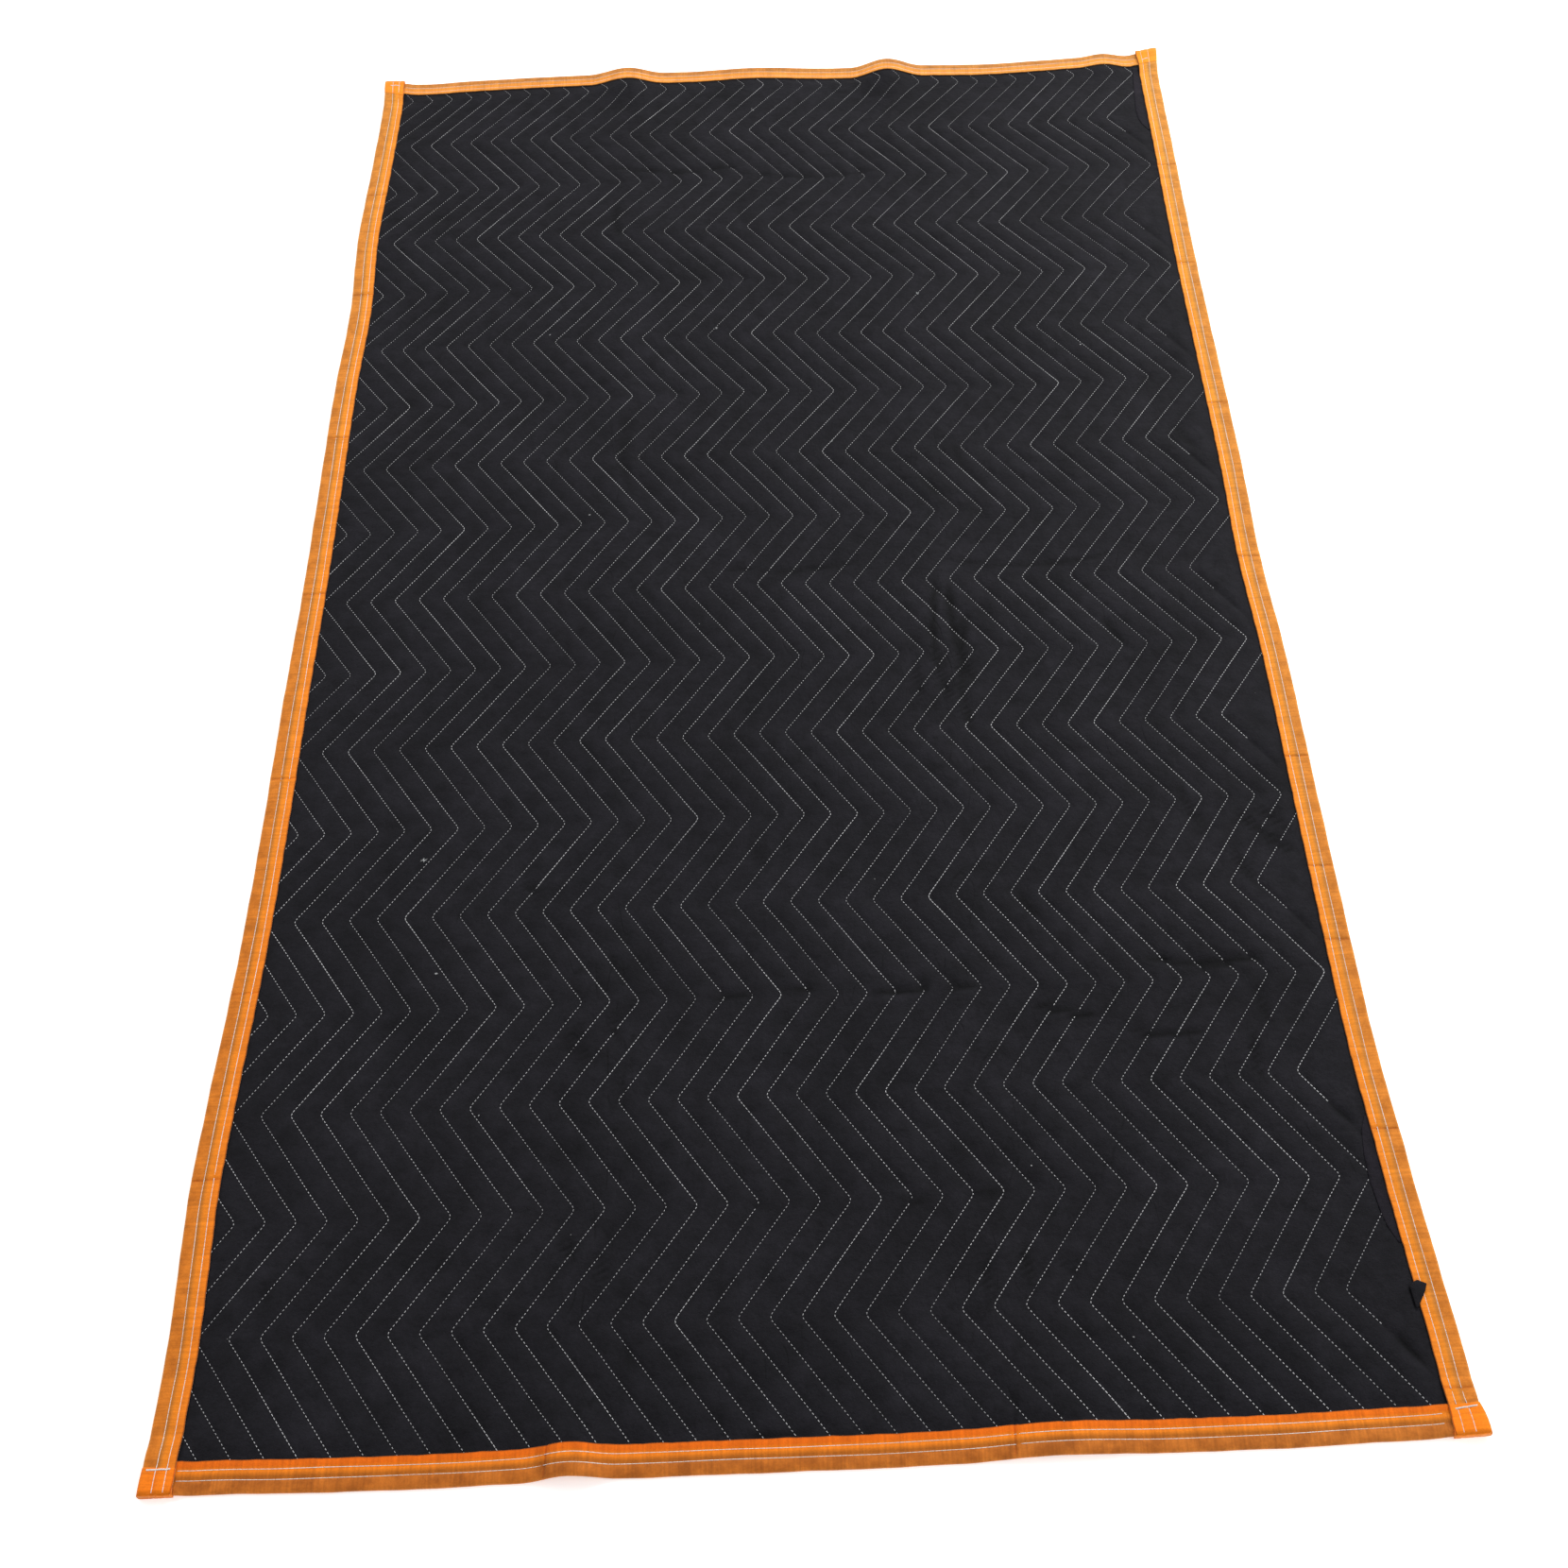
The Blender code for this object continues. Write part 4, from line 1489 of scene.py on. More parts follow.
def sew(name: str, stitches: Stitches, finish: Finish) -> bpy.types.Object:
    """Make stitches as short closed lengths of thread, pinched at both ends.

    Args:
        name: The piece's name.
        stitches: The stitches.
        finish: The thread's finish.

    Returns:
        The piece.
    """
    starts, ends, widths, heights = stitches
    run = ends - starts
    along = run / np.linalg.norm(run, axis=1, keepdims=True)
    side = np.cross(along, np.array([0.0, 0.0, 1.0]))
    side /= np.linalg.norm(side, axis=1, keepdims=True)
    top = np.cross(side, along) * heights[:, None]
    aside = side * widths[:, None] / 2
    rings = [starts - top * END_DIP]
    for place in RING_PLACES:
        middle = starts + run * place
        low = middle - top * SIDE_DIP
        rings += [low - aside, middle + top, low + aside]
    rings.append(ends - top * END_DIP)
    thread = Cloth()
    thread.add_points(np.stack(rings, axis=1))
    for number in range(len(starts)):
        first = STITCH_POINTS * number
        for corners in STITCH_FACES:
            thread.add_face([first + corner for corner in corners])
    return thread.make(name, [finish])


@dataclass(frozen=True)
class QuiltingSeams:
    """The stitches of the zigzag lines, on one side of the cloth.

    Attributes:
        name: The pieces' name, before their number.
        cloth: The quilted cloth that they are sewn in.
        under: Whether they are the underside's.
        stitch: Length from one needle hole to the next, in millimetres.
        gap: How much of that is hidden at a hole, at most.
        thread: Width of the thread.
        width: Share of that width which a tight line has, and what a slack one adds to it.
        height: How far a tight line stands off, and how much farther a slack one does.
        thinning: How much thinner the thread looks at the near left, and at the far end.
        sunk: How far a stitch's ends are sunk in.
        cover: How far the lines run on under a strip's lip.
        slack_wave: Longest wave from slack to tight along a line.
        pieces: In how many pieces the stitches are made.
    """

    name: str
    cloth: QuiltedCloth
    under: bool = False
    stitch: float = 3.5
    gap: float = 1.4
    thread: float = 1.12
    width: Pair = (0.84, 0.22)
    height: Pair = (0.34, 0.2)
    thinning: Pair = (0.25, 0.2)
    sunk: float = 0.05
    cover: float = 1.5
    slack_wave: float = 420.0
    pieces: int = 2

    def line_stitches(self, line: int) -> Optional[Stitches]:
        """Find the stitches of one line that show inside the binding.

        Args:
            line: The line's number.

        Returns:
            Its stitches, or None where it has none.
        """
        lines = self.cloth.lines
        lay = self.cloth.lay
        fine = np.arange(0.0, lay.length, 0.5)
        x = lines.x_at(np.full_like(fine, float(line)), fine)
        length = np.concatenate([[0.0], np.cumsum(np.hypot(np.diff(x), np.diff(fine)))])
        offset = (line * 1.37) % self.stitch
        begin = np.arange(offset, length[-1] - self.stitch, self.stitch)
        slack = 0.5 + 0.5 * waver(begin, self.slack_wave, 1.3 * line)
        hidden = self.gap * (1.05 - slack ** 4)
        from_y = np.interp(begin + hidden / 2, length, fine)
        to_y = np.interp(begin + self.stitch - hidden / 2, length, fine)
        number = np.full_like(from_y, float(line))
        from_x = lines.x_at(number, from_y)
        to_x = lines.x_at(number, to_y)
        edge = self.cloth.edge.strip_width - self.cover
        inside = np.minimum(lay.from_side(from_x), lay.from_side(to_x)) > edge
        if line == lines.last_line:
            inside &= ~lines.sunken(from_y)
        inside &= np.minimum(lay.from_end(from_y), lay.from_end(to_y)) > edge
        if not inside.any():
            return None
        from_x, from_y, to_x, to_y = (values[inside] for values in (from_x, from_y, to_x, to_y))
        number, slack = number[inside], slack[inside]
        sign = -1.0 if self.under else 1.0
        height = self.cloth.back_height if self.under else self.cloth.face_height
        sunk = self.sunk * sign
        starts = lay.lay(from_x, from_y, height(from_x, from_y, number) - sunk)
        ends = lay.lay(to_x, to_y, height(to_x, to_y, number) - sunk)
        near_left = (1.0 - ramp(from_y, 0.0, 600.0)) * (1.0 - ramp(from_x, 500.0, 900.0))
        taper = 1.0 - self.thinning[0] * near_left
        taper = taper * (1.0 - self.thinning[1] * from_y / lay.length)
        widths = self.thread * (self.width[0] + self.width[1] * slack) * taper * METRES_PER_MM
        heights = (self.height[0] + self.height[1] * slack) * METRES_PER_MM * sign
        return Stitches(starts, ends, widths, heights)

    def build(self) -> List[bpy.types.Object]:
        """Make the stitches of all lines.

        Returns:
            The pieces.
        """
        lines = range(self.cloth.lines.first_line, self.cloth.lines.last_line + 1)
        share = math.ceil(len(lines) / self.pieces)
        made = []
        for part in range(self.pieces):
            sewn = [self.line_stitches(line) for line in lines[part * share : (part + 1) * share]]
            stitches = Stitches.joined([row for row in sewn if row is not None])
            made.append(sew(f"{self.name}_{part + 1}", stitches, Finish.QUILTING_THREAD))
        return made


class Side(Enum):
    """The pad's four sides."""

    LEFT = "left"
    RIGHT = "right"
    NEAR = "near"
    FAR = "far"


class FoldedEnd(NamedTuple):
    """A side strip's folded end.

    Attributes:
        outer: How far along the strip it reaches at the outer edge.
        inner: How far it reaches at the inner edge.
        flare: How far its outer corner flares out.
        inner_flare: How far its inner corner flares in.
    """

    outer: float
    inner: float
    flare: float = 0.4
    inner_flare: float = 0.0


class StripEnd(NamedTuple):
    """A folded end at its place on a strip.

    Attributes:
        end: The folded end.
        sign: 1 at the strip's near end, -1 at its far end.
        start: Where along the strip it starts.
    """

    end: FoldedEnd
    sign: float
    start: float

    @property
    def middle(self) -> float:
        """How far its edge lies from the strip's end, halfway across."""
        return (self.end.outer + self.end.inner) / 2

    def inward(self, along: Array) -> Array:
        """How far a place lies from the strip's end."""
        return (along - self.start) * self.sign


@dataclass(frozen=True)
class SeamRow:
    """A row of stitches along a binding strip.

    Attributes:
        depth: Its distance from the strip's outer edge.
        dip: How deep it draws the strip in.
        half_width: How far to each side it does.
    """

    depth: float
    dip: float = 0.5
    half_width: float = 2.6


@dataclass(frozen=True)
class Binding:
    """One strip folded round an edge of the pad.

    Attributes:
        side: The edge that it binds.
        lay: How the pad lies.
        edge: The layers in the binding.
        near_end: A side strip's folded end at the near end, or the left end of an end strip.
        far_end: The same at the other end.
        rows: Its two rows of stitches.
        marks: Where fold lines cross it, as distances along it.
        lip_shift: How much farther in its inner edge lies than on an even strip.
        step: Length of a cell of its grid.
        fold_thickness: How much a folded end adds.
        top_depths: Where the upper half's points lie, besides its seams.
        seam_offsets: Where a seam's points lie beside its stitches.
        back_depths: Where the lower half's points lie, besides its grooves.
        groove_depth: How deep the lower half's seams are drawn in.
        groove_half_width: How wide they are to each side.
        top_rounding: How far in from the outer edge the upper half is rounded.
        back_rounding: The same for the lower half.
        mark_depth: How deep a fold mark is.
        mark_half_width: How wide it is to each side.
        mark_lean: How far it leans along the strip, for each step across it.
        outer_slope: How far the outer band slopes down, and from how far in.
        swells: Where the strip swells beside its seams: depth, height and half width.
        gathers: Height and longest wave of the small gathers between stitches.
        waves: Height and longest wave of the outer band's waves.
        edge_share: Height of the outermost edge, as a share of the face's there.
        lip_fall: How far the upper and lower lips are rounded.
    """

    side: Side
    lay: PadLay
    edge: SewnEdge
    near_end: Optional[FoldedEnd] = None
    far_end: Optional[FoldedEnd] = None
    rows: Tuple[SeamRow, ...] = (SeamRow(10.0), SeamRow(17.8))
    marks: Tuple[float, ...] = ()
    lip_shift: float = 0.0
    step: float = 5.5
    fold_thickness: float = 0.8
    top_depths: Tuple[float, ...] = (0.35, 1.0, 2.0, 3.2, 5.0, 7.0, 14.6, 22.6, 24.2, 24.8, 25.0)
    seam_offsets: Tuple[float, ...] = (-1.7, -0.7, 0.0, 0.7, 1.7)
    back_depths: Tuple[float, ...] = (25.0, 24.6, 22.5, 14.7, 5.0, 2.2, 0.55)
    groove_depth: float = 0.45
    groove_half_width: float = 1.4
    top_rounding: float = 3.2
    back_rounding: float = 2.2
    mark_depth: float = 0.75
    mark_half_width: float = 1.6
    mark_lean: float = 0.06
    outer_slope: Pair = (0.25, 7.0)
    swells: Tuple[Triple, ...] = ((14.2, 0.2, 3.5), (22.0, 0.15, 3.0))
    gathers: Pair = (0.10, 17.0)
    waves: Pair = (0.22, 61.0)
    edge_share: float = 0.55
    lip_fall: Pair = (0.35, 0.3)

    @property
    def is_side(self) -> bool:
        """Whether this is one of the two long strips."""
        return self.side in (Side.LEFT, Side.RIGHT)

    @property
    def run(self) -> float:
        """The length of the edge that it binds."""
        return self.lay.length if self.is_side else self.lay.width

    @property
    def ends(self) -> List[StripEnd]:
        """The strip's folded ends."""
        places = ((self.near_end, 1.0, 0.0), (self.far_end, -1.0, self.run))
        return [StripEnd(*place) for place in places if place[0] is not None]

    def place(self, depth: Array, along: Array, z: Array) -> Array:
        """Lay points given by their distance from the edge, place along it and height.

        Args:
            depth: Distance from the outer edge.
            along: Distance along the strip.
            z: Height over the pad's underside.

        Returns:
            One row of three metres for each point.
        """
        lay = self.lay
        if self.side is Side.LEFT:
            return lay.lay(depth, along, z)
        if self.side is Side.RIGHT:
            return lay.lay(lay.width - depth, along, z)
        if self.side is Side.NEAR:
            return lay.lay(along, depth, z)
        return lay.lay(along, lay.length - depth, z)

    def phase(self) -> float:
        """A number that makes this strip's unevenness its own."""
        return 1.0 + 2.1 * list(Side).index(self.side)

    def top_raise(self, along: Array) -> Array:
        """How far the strip's upper half is raised over a corner's stacked layers.

        Args:
            along: Distance along the strip.

        Returns:
            The rise.
        """
        if not self.is_side:
            return np.zeros_like(along)
        distance = np.minimum(along, self.run - along)
        level = ramp(distance, self.edge.corner_raised, self.edge.side_level)
        return 2 * self.edge.corner_lift * (1.0 - level)

    def base_lift(self, along: Array) -> Array:
        """How far the whole strip is lifted where it runs inside a side strip.

        Args:
            along: Distance along the strip.

        Returns:
            The lift.
        """
        if self.is_side:
            return np.zeros_like(along)
        distance = np.minimum(along, self.run - along)
        return self.edge.corner_lift * self.edge.corner_share(distance)

    def slant(self, along: Array, depth: Array) -> Array:
        """Move a section along the strip so that it runs along a folded end's slanted edge.

        Args:
            along: Distance along the strip.
            depth: Distance from the outer edge.

        Returns:
            The new distance along the strip.
        """
        moved = along
        for at in self.ends:
            off = (at.end.inner - at.end.outer) * (depth / self.edge.strip_width - 0.5)
            away = np.abs(at.inward(along) - at.middle)
            close = 1.0 - np.clip((away - 2.0) / 14.0, 0.0, 1.0)
            moved = moved + at.sign * off * close
        return moved

    def fold_share(self, along: Array) -> Array:
        """1 on a folded end, 0 past its edge, along the unslanted strip.

        Args:
            along: Distance along the strip.

        Returns:
            The share.
        """
        share = np.zeros_like(along)
        for at in self.ends:
            share = share + (1.0 - ramp(at.inward(along), at.middle - 0.3, at.middle + 0.3))
        return np.clip(share, 0.0, 1.0)

    def stations(self) -> Array:
        """Places of the sections along the strip.

        Returns:
            Distances along the strip, in order.
        """
        if self.is_side:
            low, high = -self.edge.gap, self.run + self.edge.gap
        else:
            low, high = self.edge.inset, self.run - self.edge.inset
        places = list(np.linspace(low, high, round((high - low) / self.step)))
        for mark in self.marks:
            places += [mark - 2.2, mark - 1.0, mark, mark + 1.0, mark + 2.2]
        for at in self.ends:
            edge = at.start + at.sign * at.middle
            places = [place for place in places if abs(place - edge) > 2.4]
            places += [edge + offset for offset in (-1.6, -0.7, -0.3, 0.0, 0.3, 0.7, 1.6)]
        places = sorted(place for place in places if low <= place <= high)
        kept = [places[0]]
        for place in places[1:-1]:
            if place - kept[-1] > 0.25 and places[-1] - place > 0.25:
                kept.append(place)
        return np.array(kept + [places[-1]])

    def face_height(self, depth: Array, along: Array) -> Array:
        """Height of the strip's outer face over its base.

        Args:
            depth: Distance from the outer edge.
            along: Distance along the strip.

        Returns:
            The height.
        """
        full = self.edge.strip_top
        sunk = 0.5 * full * rounded(depth, self.top_rounding)
        fall, reach = self.outer_slope
        height = full - sunk - fall * (1.0 - ramp(depth, 0.0, reach))
        for row in self.rows:
            height = height - row.dip * hump(depth - row.depth, row.half_width)
        for place, swell, half_width in self.swells:
            height = height + swell * hump(depth - place, half_width)
        return height + self.crumple(depth, along)

    def outer_height(self, depth: Array, along: Array) -> Array:
        """Height of the outer face over its base, with a corner's stack and a folded end."""
        fold = self.fold_share(along) * self.fold_thickness
        return self.face_height(depth, along) + self.top_raise(along) + fold

    def under_height(self, depth: Array) -> Array:
        """Height of the strip's underside over its base.

        Args:
            depth: Distance from the outer edge.

        Returns:
            The height.
        """
        height = 0.25 * self.edge.strip_top * rounded(depth, self.back_rounding)
        for row in self.rows:
            height = height + self.groove_depth * hump(depth - row.depth, self.groove_half_width)
        return height

    def crumple(self, depth: Array, along: Array) -> Array:
        """Small gathers between the stitches, waves of the outer edge and fold marks.

        Args:
            depth: Distance from the outer edge.
            along: Distance along the strip.

        Returns:
            Their height.
        """
        phase = self.phase()
        high, length = self.gathers
        gather = high * waver(along + 0.5 * depth, length, phase) * ramp(depth, 0.0, 4.0)
        high, length = self.waves
        wave = high * waver(along - 0.8 * depth, length, phase + 0.7) * hump(depth - 5.0, 5.0)
        ridge = np.zeros(np.broadcast(depth, along).shape)
        for mark in self.marks:
            ridge = ridge + 0.3 * hump(self.from_mark(depth, along, mark) - 3.0, 3.2)
        return gather + wave + ridge - self.mark_depth * self.mark_share(depth, along)

    def from_mark(self, depth: Array, along: Array, mark: float) -> Array:
        """How far past a fold mark a point of the strip lies, as the mark leans."""
        return along - mark - self.mark_lean * (depth - 12.0)

    def mark_share(self, depth: Array, along: Array) -> Array:
        """1 in the middle of a fold mark, 0 beside it.

        Args:
            depth: Distance from the outer edge.
            along: Distance along the strip.

        Returns:
            The share.
        """
        share = np.zeros(np.broadcast(depth, along).shape)
        for mark in self.marks:
            off = self.from_mark(depth, along, mark)
            share = share + hump(off, self.mark_half_width) * ramp(depth, 0.0, 3.0)
        return share

    def edge_wave(self, depth: Array, along: Array) -> Array:
        """How far the outer edge and the lips wave, fading towards the seams.

        Args:
            depth: Distance from the outer edge.
            along: Distance along the strip.

        Returns:
            How much farther in a point lies.
        """
        outer = np.clip(1.0 - depth / 9.0, 0.0, 1.0) * 0.3 * waver(along, 83.0, self.phase() + 2.0)
        lip_wave = self.lip_shift + 0.35 * waver(along, 33.0, self.phase() + 4.0)
        lip = lip_wave * ramp(depth, 20.5, 24.8)
        flare = np.zeros_like(outer)
        inner = np.clip(depth / self.edge.strip_width, 0.0, 1.0)
        for at in self.ends:
            reach = np.clip(1.0 - at.inward(along) / (at.end.outer + 0.8), 0.0, 1.0)
            flare = flare + at.end.flare * (1.0 - (1.0 - reach) ** 3) * (1.0 - inner)
            flare = flare - at.end.inner_flare * reach * inner
        return outer + lip - flare

    def build(self) -> bpy.types.Object:
        """Make the strip as one closed piece.

        Returns:
            The piece.
        """
        stations = self.stations()
        cloth = Cloth()
        grooves = [
            row.depth + offset
            for row in self.rows
            for offset in (-self.groove_half_width, 0.0, self.groove_half_width)
        ]
        back = np.array(sorted([*self.back_depths, *grooves], reverse=True))
        seams = [row.depth + offset for row in self.rows for offset in self.seam_offsets]
        top = np.array(sorted([*self.top_depths, *seams]))
        depth_row = np.concatenate([back, [0.0], top])
        depth = np.repeat(depth_row[None, :], len(stations), axis=0)
        raw = np.repeat(stations[:, None], len(depth_row), axis=1)
        along = self.slant(raw, depth)
        low = self.base_lift(raw)
        raised = self.top_raise(raw)
        fold = self.fold_share(raw) * self.fold_thickness
        face = self.face_height(depth, along) + raised + fold
        height = np.where(np.arange(len(depth_row)) < len(back), self.under_height(depth), face)
        waist = len(back)
        height[:, waist] = face[:, waist] * self.edge_share
        height[:, -1] -= self.lip_fall[0]
        height[:, 0] += self.lip_fall[1]
        wave = self.edge_wave(depth, along)
        flat_v = np.where(np.arange(len(depth_row)) < len(back), -depth, depth) * METRES_PER_MM
        # The mark share is written to the hollow layer: painted shade in the fold marks' troughs
        skin = cloth.add_points(
            self.place(depth + wave, along, low + height),
            np.stack([raw * METRES_PER_MM, flat_v], axis=-1),
            self.mark_share(depth, along),
        )
        slots = (self.fold_share((stations[:-1] + stations[1:]) / 2) > 0.5).astype(int)
        cloth.add_grid(skin, np.repeat(slots[:, None], len(depth_row) - 1, axis=1))
        inner = slice(1, -1) if self.is_side else slice(None)
        mouth = self.add_mouth(cloth, stations[inner])
        rim = skin[inner]
        self.add_lip(cloth, rim[:, -1], mouth[:, 0])
        self.add_lip(cloth, mouth[:, -1], rim[:, 0])
        if self.is_side:
            for end in (0, -1):
                outside, near, hole = skin[end], rim[end], mouth[end]
                cloth.add_face(outside, 1)
                cloth.add_face(hole)
                lips = (outside[0], outside[-1], near[-1], hole[0], hole[-1], near[0])
                cloth.add_face(lips, 1)
        else:
            cloth.add_face(list(skin[0]) + list(mouth[0]))
            cloth.add_face(list(skin[-1]) + list(mouth[-1]))
        # The long strips and the far strip take the tapes with painted sheen
        tapes = {Side.NEAR: Finish.ORANGE_STRIP, Side.FAR: Finish.ORANGE_FAR_STRIP}
        tape = tapes.get(self.side, Finish.ORANGE_SIDE_STRIP)
        piece = cloth.make(f"{self.side.value}_binding", [tape, Finish.FOLDED_END], ORANGE_STRIP)
        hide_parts(f"binding_{self.side.value}")
        return piece

    def add_mouth(self, cloth: Cloth, stations: Array) -> Array:
        """Add the strip's inner faces, from the upper lip in to the fold and out again below.

        Args:
            cloth: Receives them.
            stations: Places of the sections along the strip.

        Returns:
            The inner points' numbers, a row of four for each station.
        """
        edge = self.edge
        lip, fold = edge.strip_width - 0.1, edge.strip_thickness
        depth_row = np.array([lip, fold, fold, lip])
        upper = np.array([True, True, False, False])
        depth = np.repeat(depth_row[None, :], len(stations), axis=0)
        raw = np.repeat(stations[:, None], 4, axis=1)
        along = self.slant(raw, depth)
        top = edge.mouth_top + self.top_raise(raw)
        height = self.base_lift(raw) + np.where(upper[None, :], top, edge.strip_thickness)
        flat = np.stack([raw * METRES_PER_MM, depth * METRES_PER_MM], axis=-1)
        wave = self.edge_wave(depth, along)
        mouth = cloth.add_points(self.place(depth + wave, along, height), flat)
        cloth.add_grid(mouth)
        return mouth

    @staticmethod
    def add_lip(cloth: Cloth, first: Array, second: Array) -> None:
        """Join the strip's outer face to its inner face along a lip."""
        for index in range(len(first) - 1):
            cloth.add_face((first[index], second[index], second[index + 1], first[index + 1]))


@dataclass(frozen=True)
class BindingSeams:
    """The two rows of stitches along each binding strip, on one side of the pad.

    Attributes:
        name: The piece's name.
        bindings: The strips that they are sewn in.
        under: Whether they are the underside's.
        stitch: Length from one needle hole to the next, in millimetres.
        gap: How much of that is hidden at a hole.
        thread: Width of the thread.
        height: How far a stitch stands off the strip.
        sunk: How far its ends are sunk in.
        sway: How far the upper rows wander across the strip.
    """

    name: str
    bindings: Sequence[Binding]
    under: bool = False
    stitch: float = 4.4
    gap: float = -0.7
    thread: float = 0.85
    height: float = 0.36
    sunk: float = 0.02
    sway: float = 0.35

    def strip_stitches(self, binding: Binding, row: SeamRow) -> Stitches:
        """Find the stitches of one row.

        Args:
            binding: The strip.
            row: The row in it.

        Returns:
            The row's stitches.
        """
        clear = 1.0 if binding.is_side else binding.edge.strip_width + 1.5
        begin = np.arange(clear, binding.run - clear - self.stitch, self.stitch)
        end = begin + self.stitch - self.gap
        begin = begin + self.gap / 2
        phase = binding.phase() + row.depth
        ends = []
        for along in (begin, end):
            depth = row.depth + (0.0 if self.under else self.sway) * waver(along, 240.0, phase)
            middle = np.full_like(along, row.depth)
            height = binding.base_lift(along)
            if self.under:
                height = height + binding.under_height(middle) + self.sunk
            else:
                height = height + binding.outer_height(middle, along) - self.sunk
            ends.append(binding.place(depth + binding.edge_wave(depth, along), along, height))
        widths = self.thread * (0.92 + 0.12 * waver(begin, 90.0, phase)) * METRES_PER_MM
        stand = -self.height if self.under else self.height
        heights = np.full(len(begin), stand * METRES_PER_MM)
        return Stitches(ends[0], ends[1], widths, heights)

    def build(self) -> bpy.types.Object:
        """Make the rows of all the strips.

        Returns:
            The piece.
        """
        sewn = [
            self.strip_stitches(binding, row)
            for binding in self.bindings
            for row in binding.rows
        ]
        return sew(self.name, Stitches.joined(sewn), Finish.BINDING_THREAD)


class Tack(NamedTuple):
    """A bar tack.

    Attributes:
        side: The strip that it is sewn in.
        depth: Distance from the strip's outer edge where it starts.
        along: Distance along the strip there.
        to_depth: Distance from the outer edge where it ends.
        to_along: Distance along the strip there.
    """

    side: Side
    depth: float
    along: float
    to_depth: float
    to_along: float


@dataclass(frozen=True)
class CornerTacks:
    """The four bar tacks that hold the folded ends down.

    Attributes:
        bindings: The strips, by side.
        tacks: Where the tacks are.
        stitches: Number of stitches in a tack.
        half_height: Half the width of a tack's zigzag, in millimetres.
        thread: Width of the thread.
        height: How far a stitch stands off the tack's base.
        clearance: How far the base lies over the strip.
    """

    bindings: Dict[Side, Binding]
    tacks: Sequence[Tack]
    stitches: int = 38
    half_height: float = 0.8
    thread: float = 0.8
    height: float = 0.45
    clearance: float = 0.1

    def build(self) -> bpy.types.Object:
        """Make the tacks.

        Returns:
            The piece.
        """
        sewn = []
        for tack in self.tacks:
            binding = self.bindings[tack.side]
            share = np.linspace(0.0, 1.0, self.stitches + 1)
            sign = np.where(np.arange(self.stitches + 1) % 2 == 0, 1.0, -1.0)
            depth = tack.depth + (tack.to_depth - tack.depth) * share
            along = tack.along + (tack.to_along - tack.along) * share + sign * self.half_height
            height = binding.outer_height(depth, along) + self.clearance
            points = binding.place(depth, along, height)
            sewn.append(Stitches.even(points[:-1], points[1:], self.thread, self.height))
        return sew("corner_tacks", Stitches.joined(sewn), Finish.BINDING_THREAD)


class EdgePoint(NamedTuple):
    """A corner of a loose piece of cloth: its distance from the pad's right edge, and y."""

    from_edge: float
    y: float


@dataclass(frozen=True)
class LooseTip:
    """The loose end of the cover cloth that lies over the right strip's inner edge.

    Attributes:
        lay: How the pad lies.
        edge: The layers in the binding.
        outline: Its corners, in order.
        thickness: Its thickness.
        clearance: How far it lies over the strip.
    """

    lay: PadLay
    edge: SewnEdge
    outline: Tuple[EdgePoint, ...] = (
        EdgePoint(28.5, 102.0),
        EdgePoint(26.5, 102.5),
        EdgePoint(24.0, 106.5),
        EdgePoint(17.8, 115.5),
        EdgePoint(15.0, 121.5),
        EdgePoint(22.0, 125.0),
        EdgePoint(27.5, 122.5),
        EdgePoint(29.0, 121.0),
    )
    thickness: float = 0.8
    clearance: float = 0.4

    def build(self) -> bpy.types.Object:
        """Make the tip as a closed piece with soft edges.

        Returns:
            The piece.
        """
        cloth = Cloth()
        corners = np.array([(self.lay.width - point.from_edge, point.y) for point in self.outline])
        middle = corners.mean(axis=0)
        base = self.edge.strip_top + self.clearance
        levels = [(0.90, 0.0), (1.0, 0.25), (1.0, 0.6), (0.86, 1.0), (0.4, 1.15)]
        rings = []
        for share, rise in levels:
            ring = middle + (corners - middle) * share
            curl = 0.5 * ramp(ring[:, 1], 108.0, 126.0)
            z = base + curl + self.thickness * rise
            rings.append(cloth.add_points(self.lay.lay(ring[:, 0], ring[:, 1], z)))
        count = len(corners)
        for lower, upper in zip(rings, rings[1:]):
            for index in range(count):
                after = (index + 1) % count
                cloth.add_face((lower[index], lower[after], upper[after], upper[index]))
        cloth.add_face(rings[0])
        cloth.add_face(rings[-1])
        piece = cloth.make("loose_tip", [Finish.BLACK_CLOTH], BLACK_CLOTH)
        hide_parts("selvage_tip")
        return piece


# A flap's outline: places from its fold to the strip's lip, and heights in thicknesses
FLAP_PROFILE = (
    (0.0, 0.10), (0.0, 0.45), (0.06, 0.85), (0.25, 1.0), (0.65, 0.9), (1.0, 0.7), (1.0, 0.10),
)


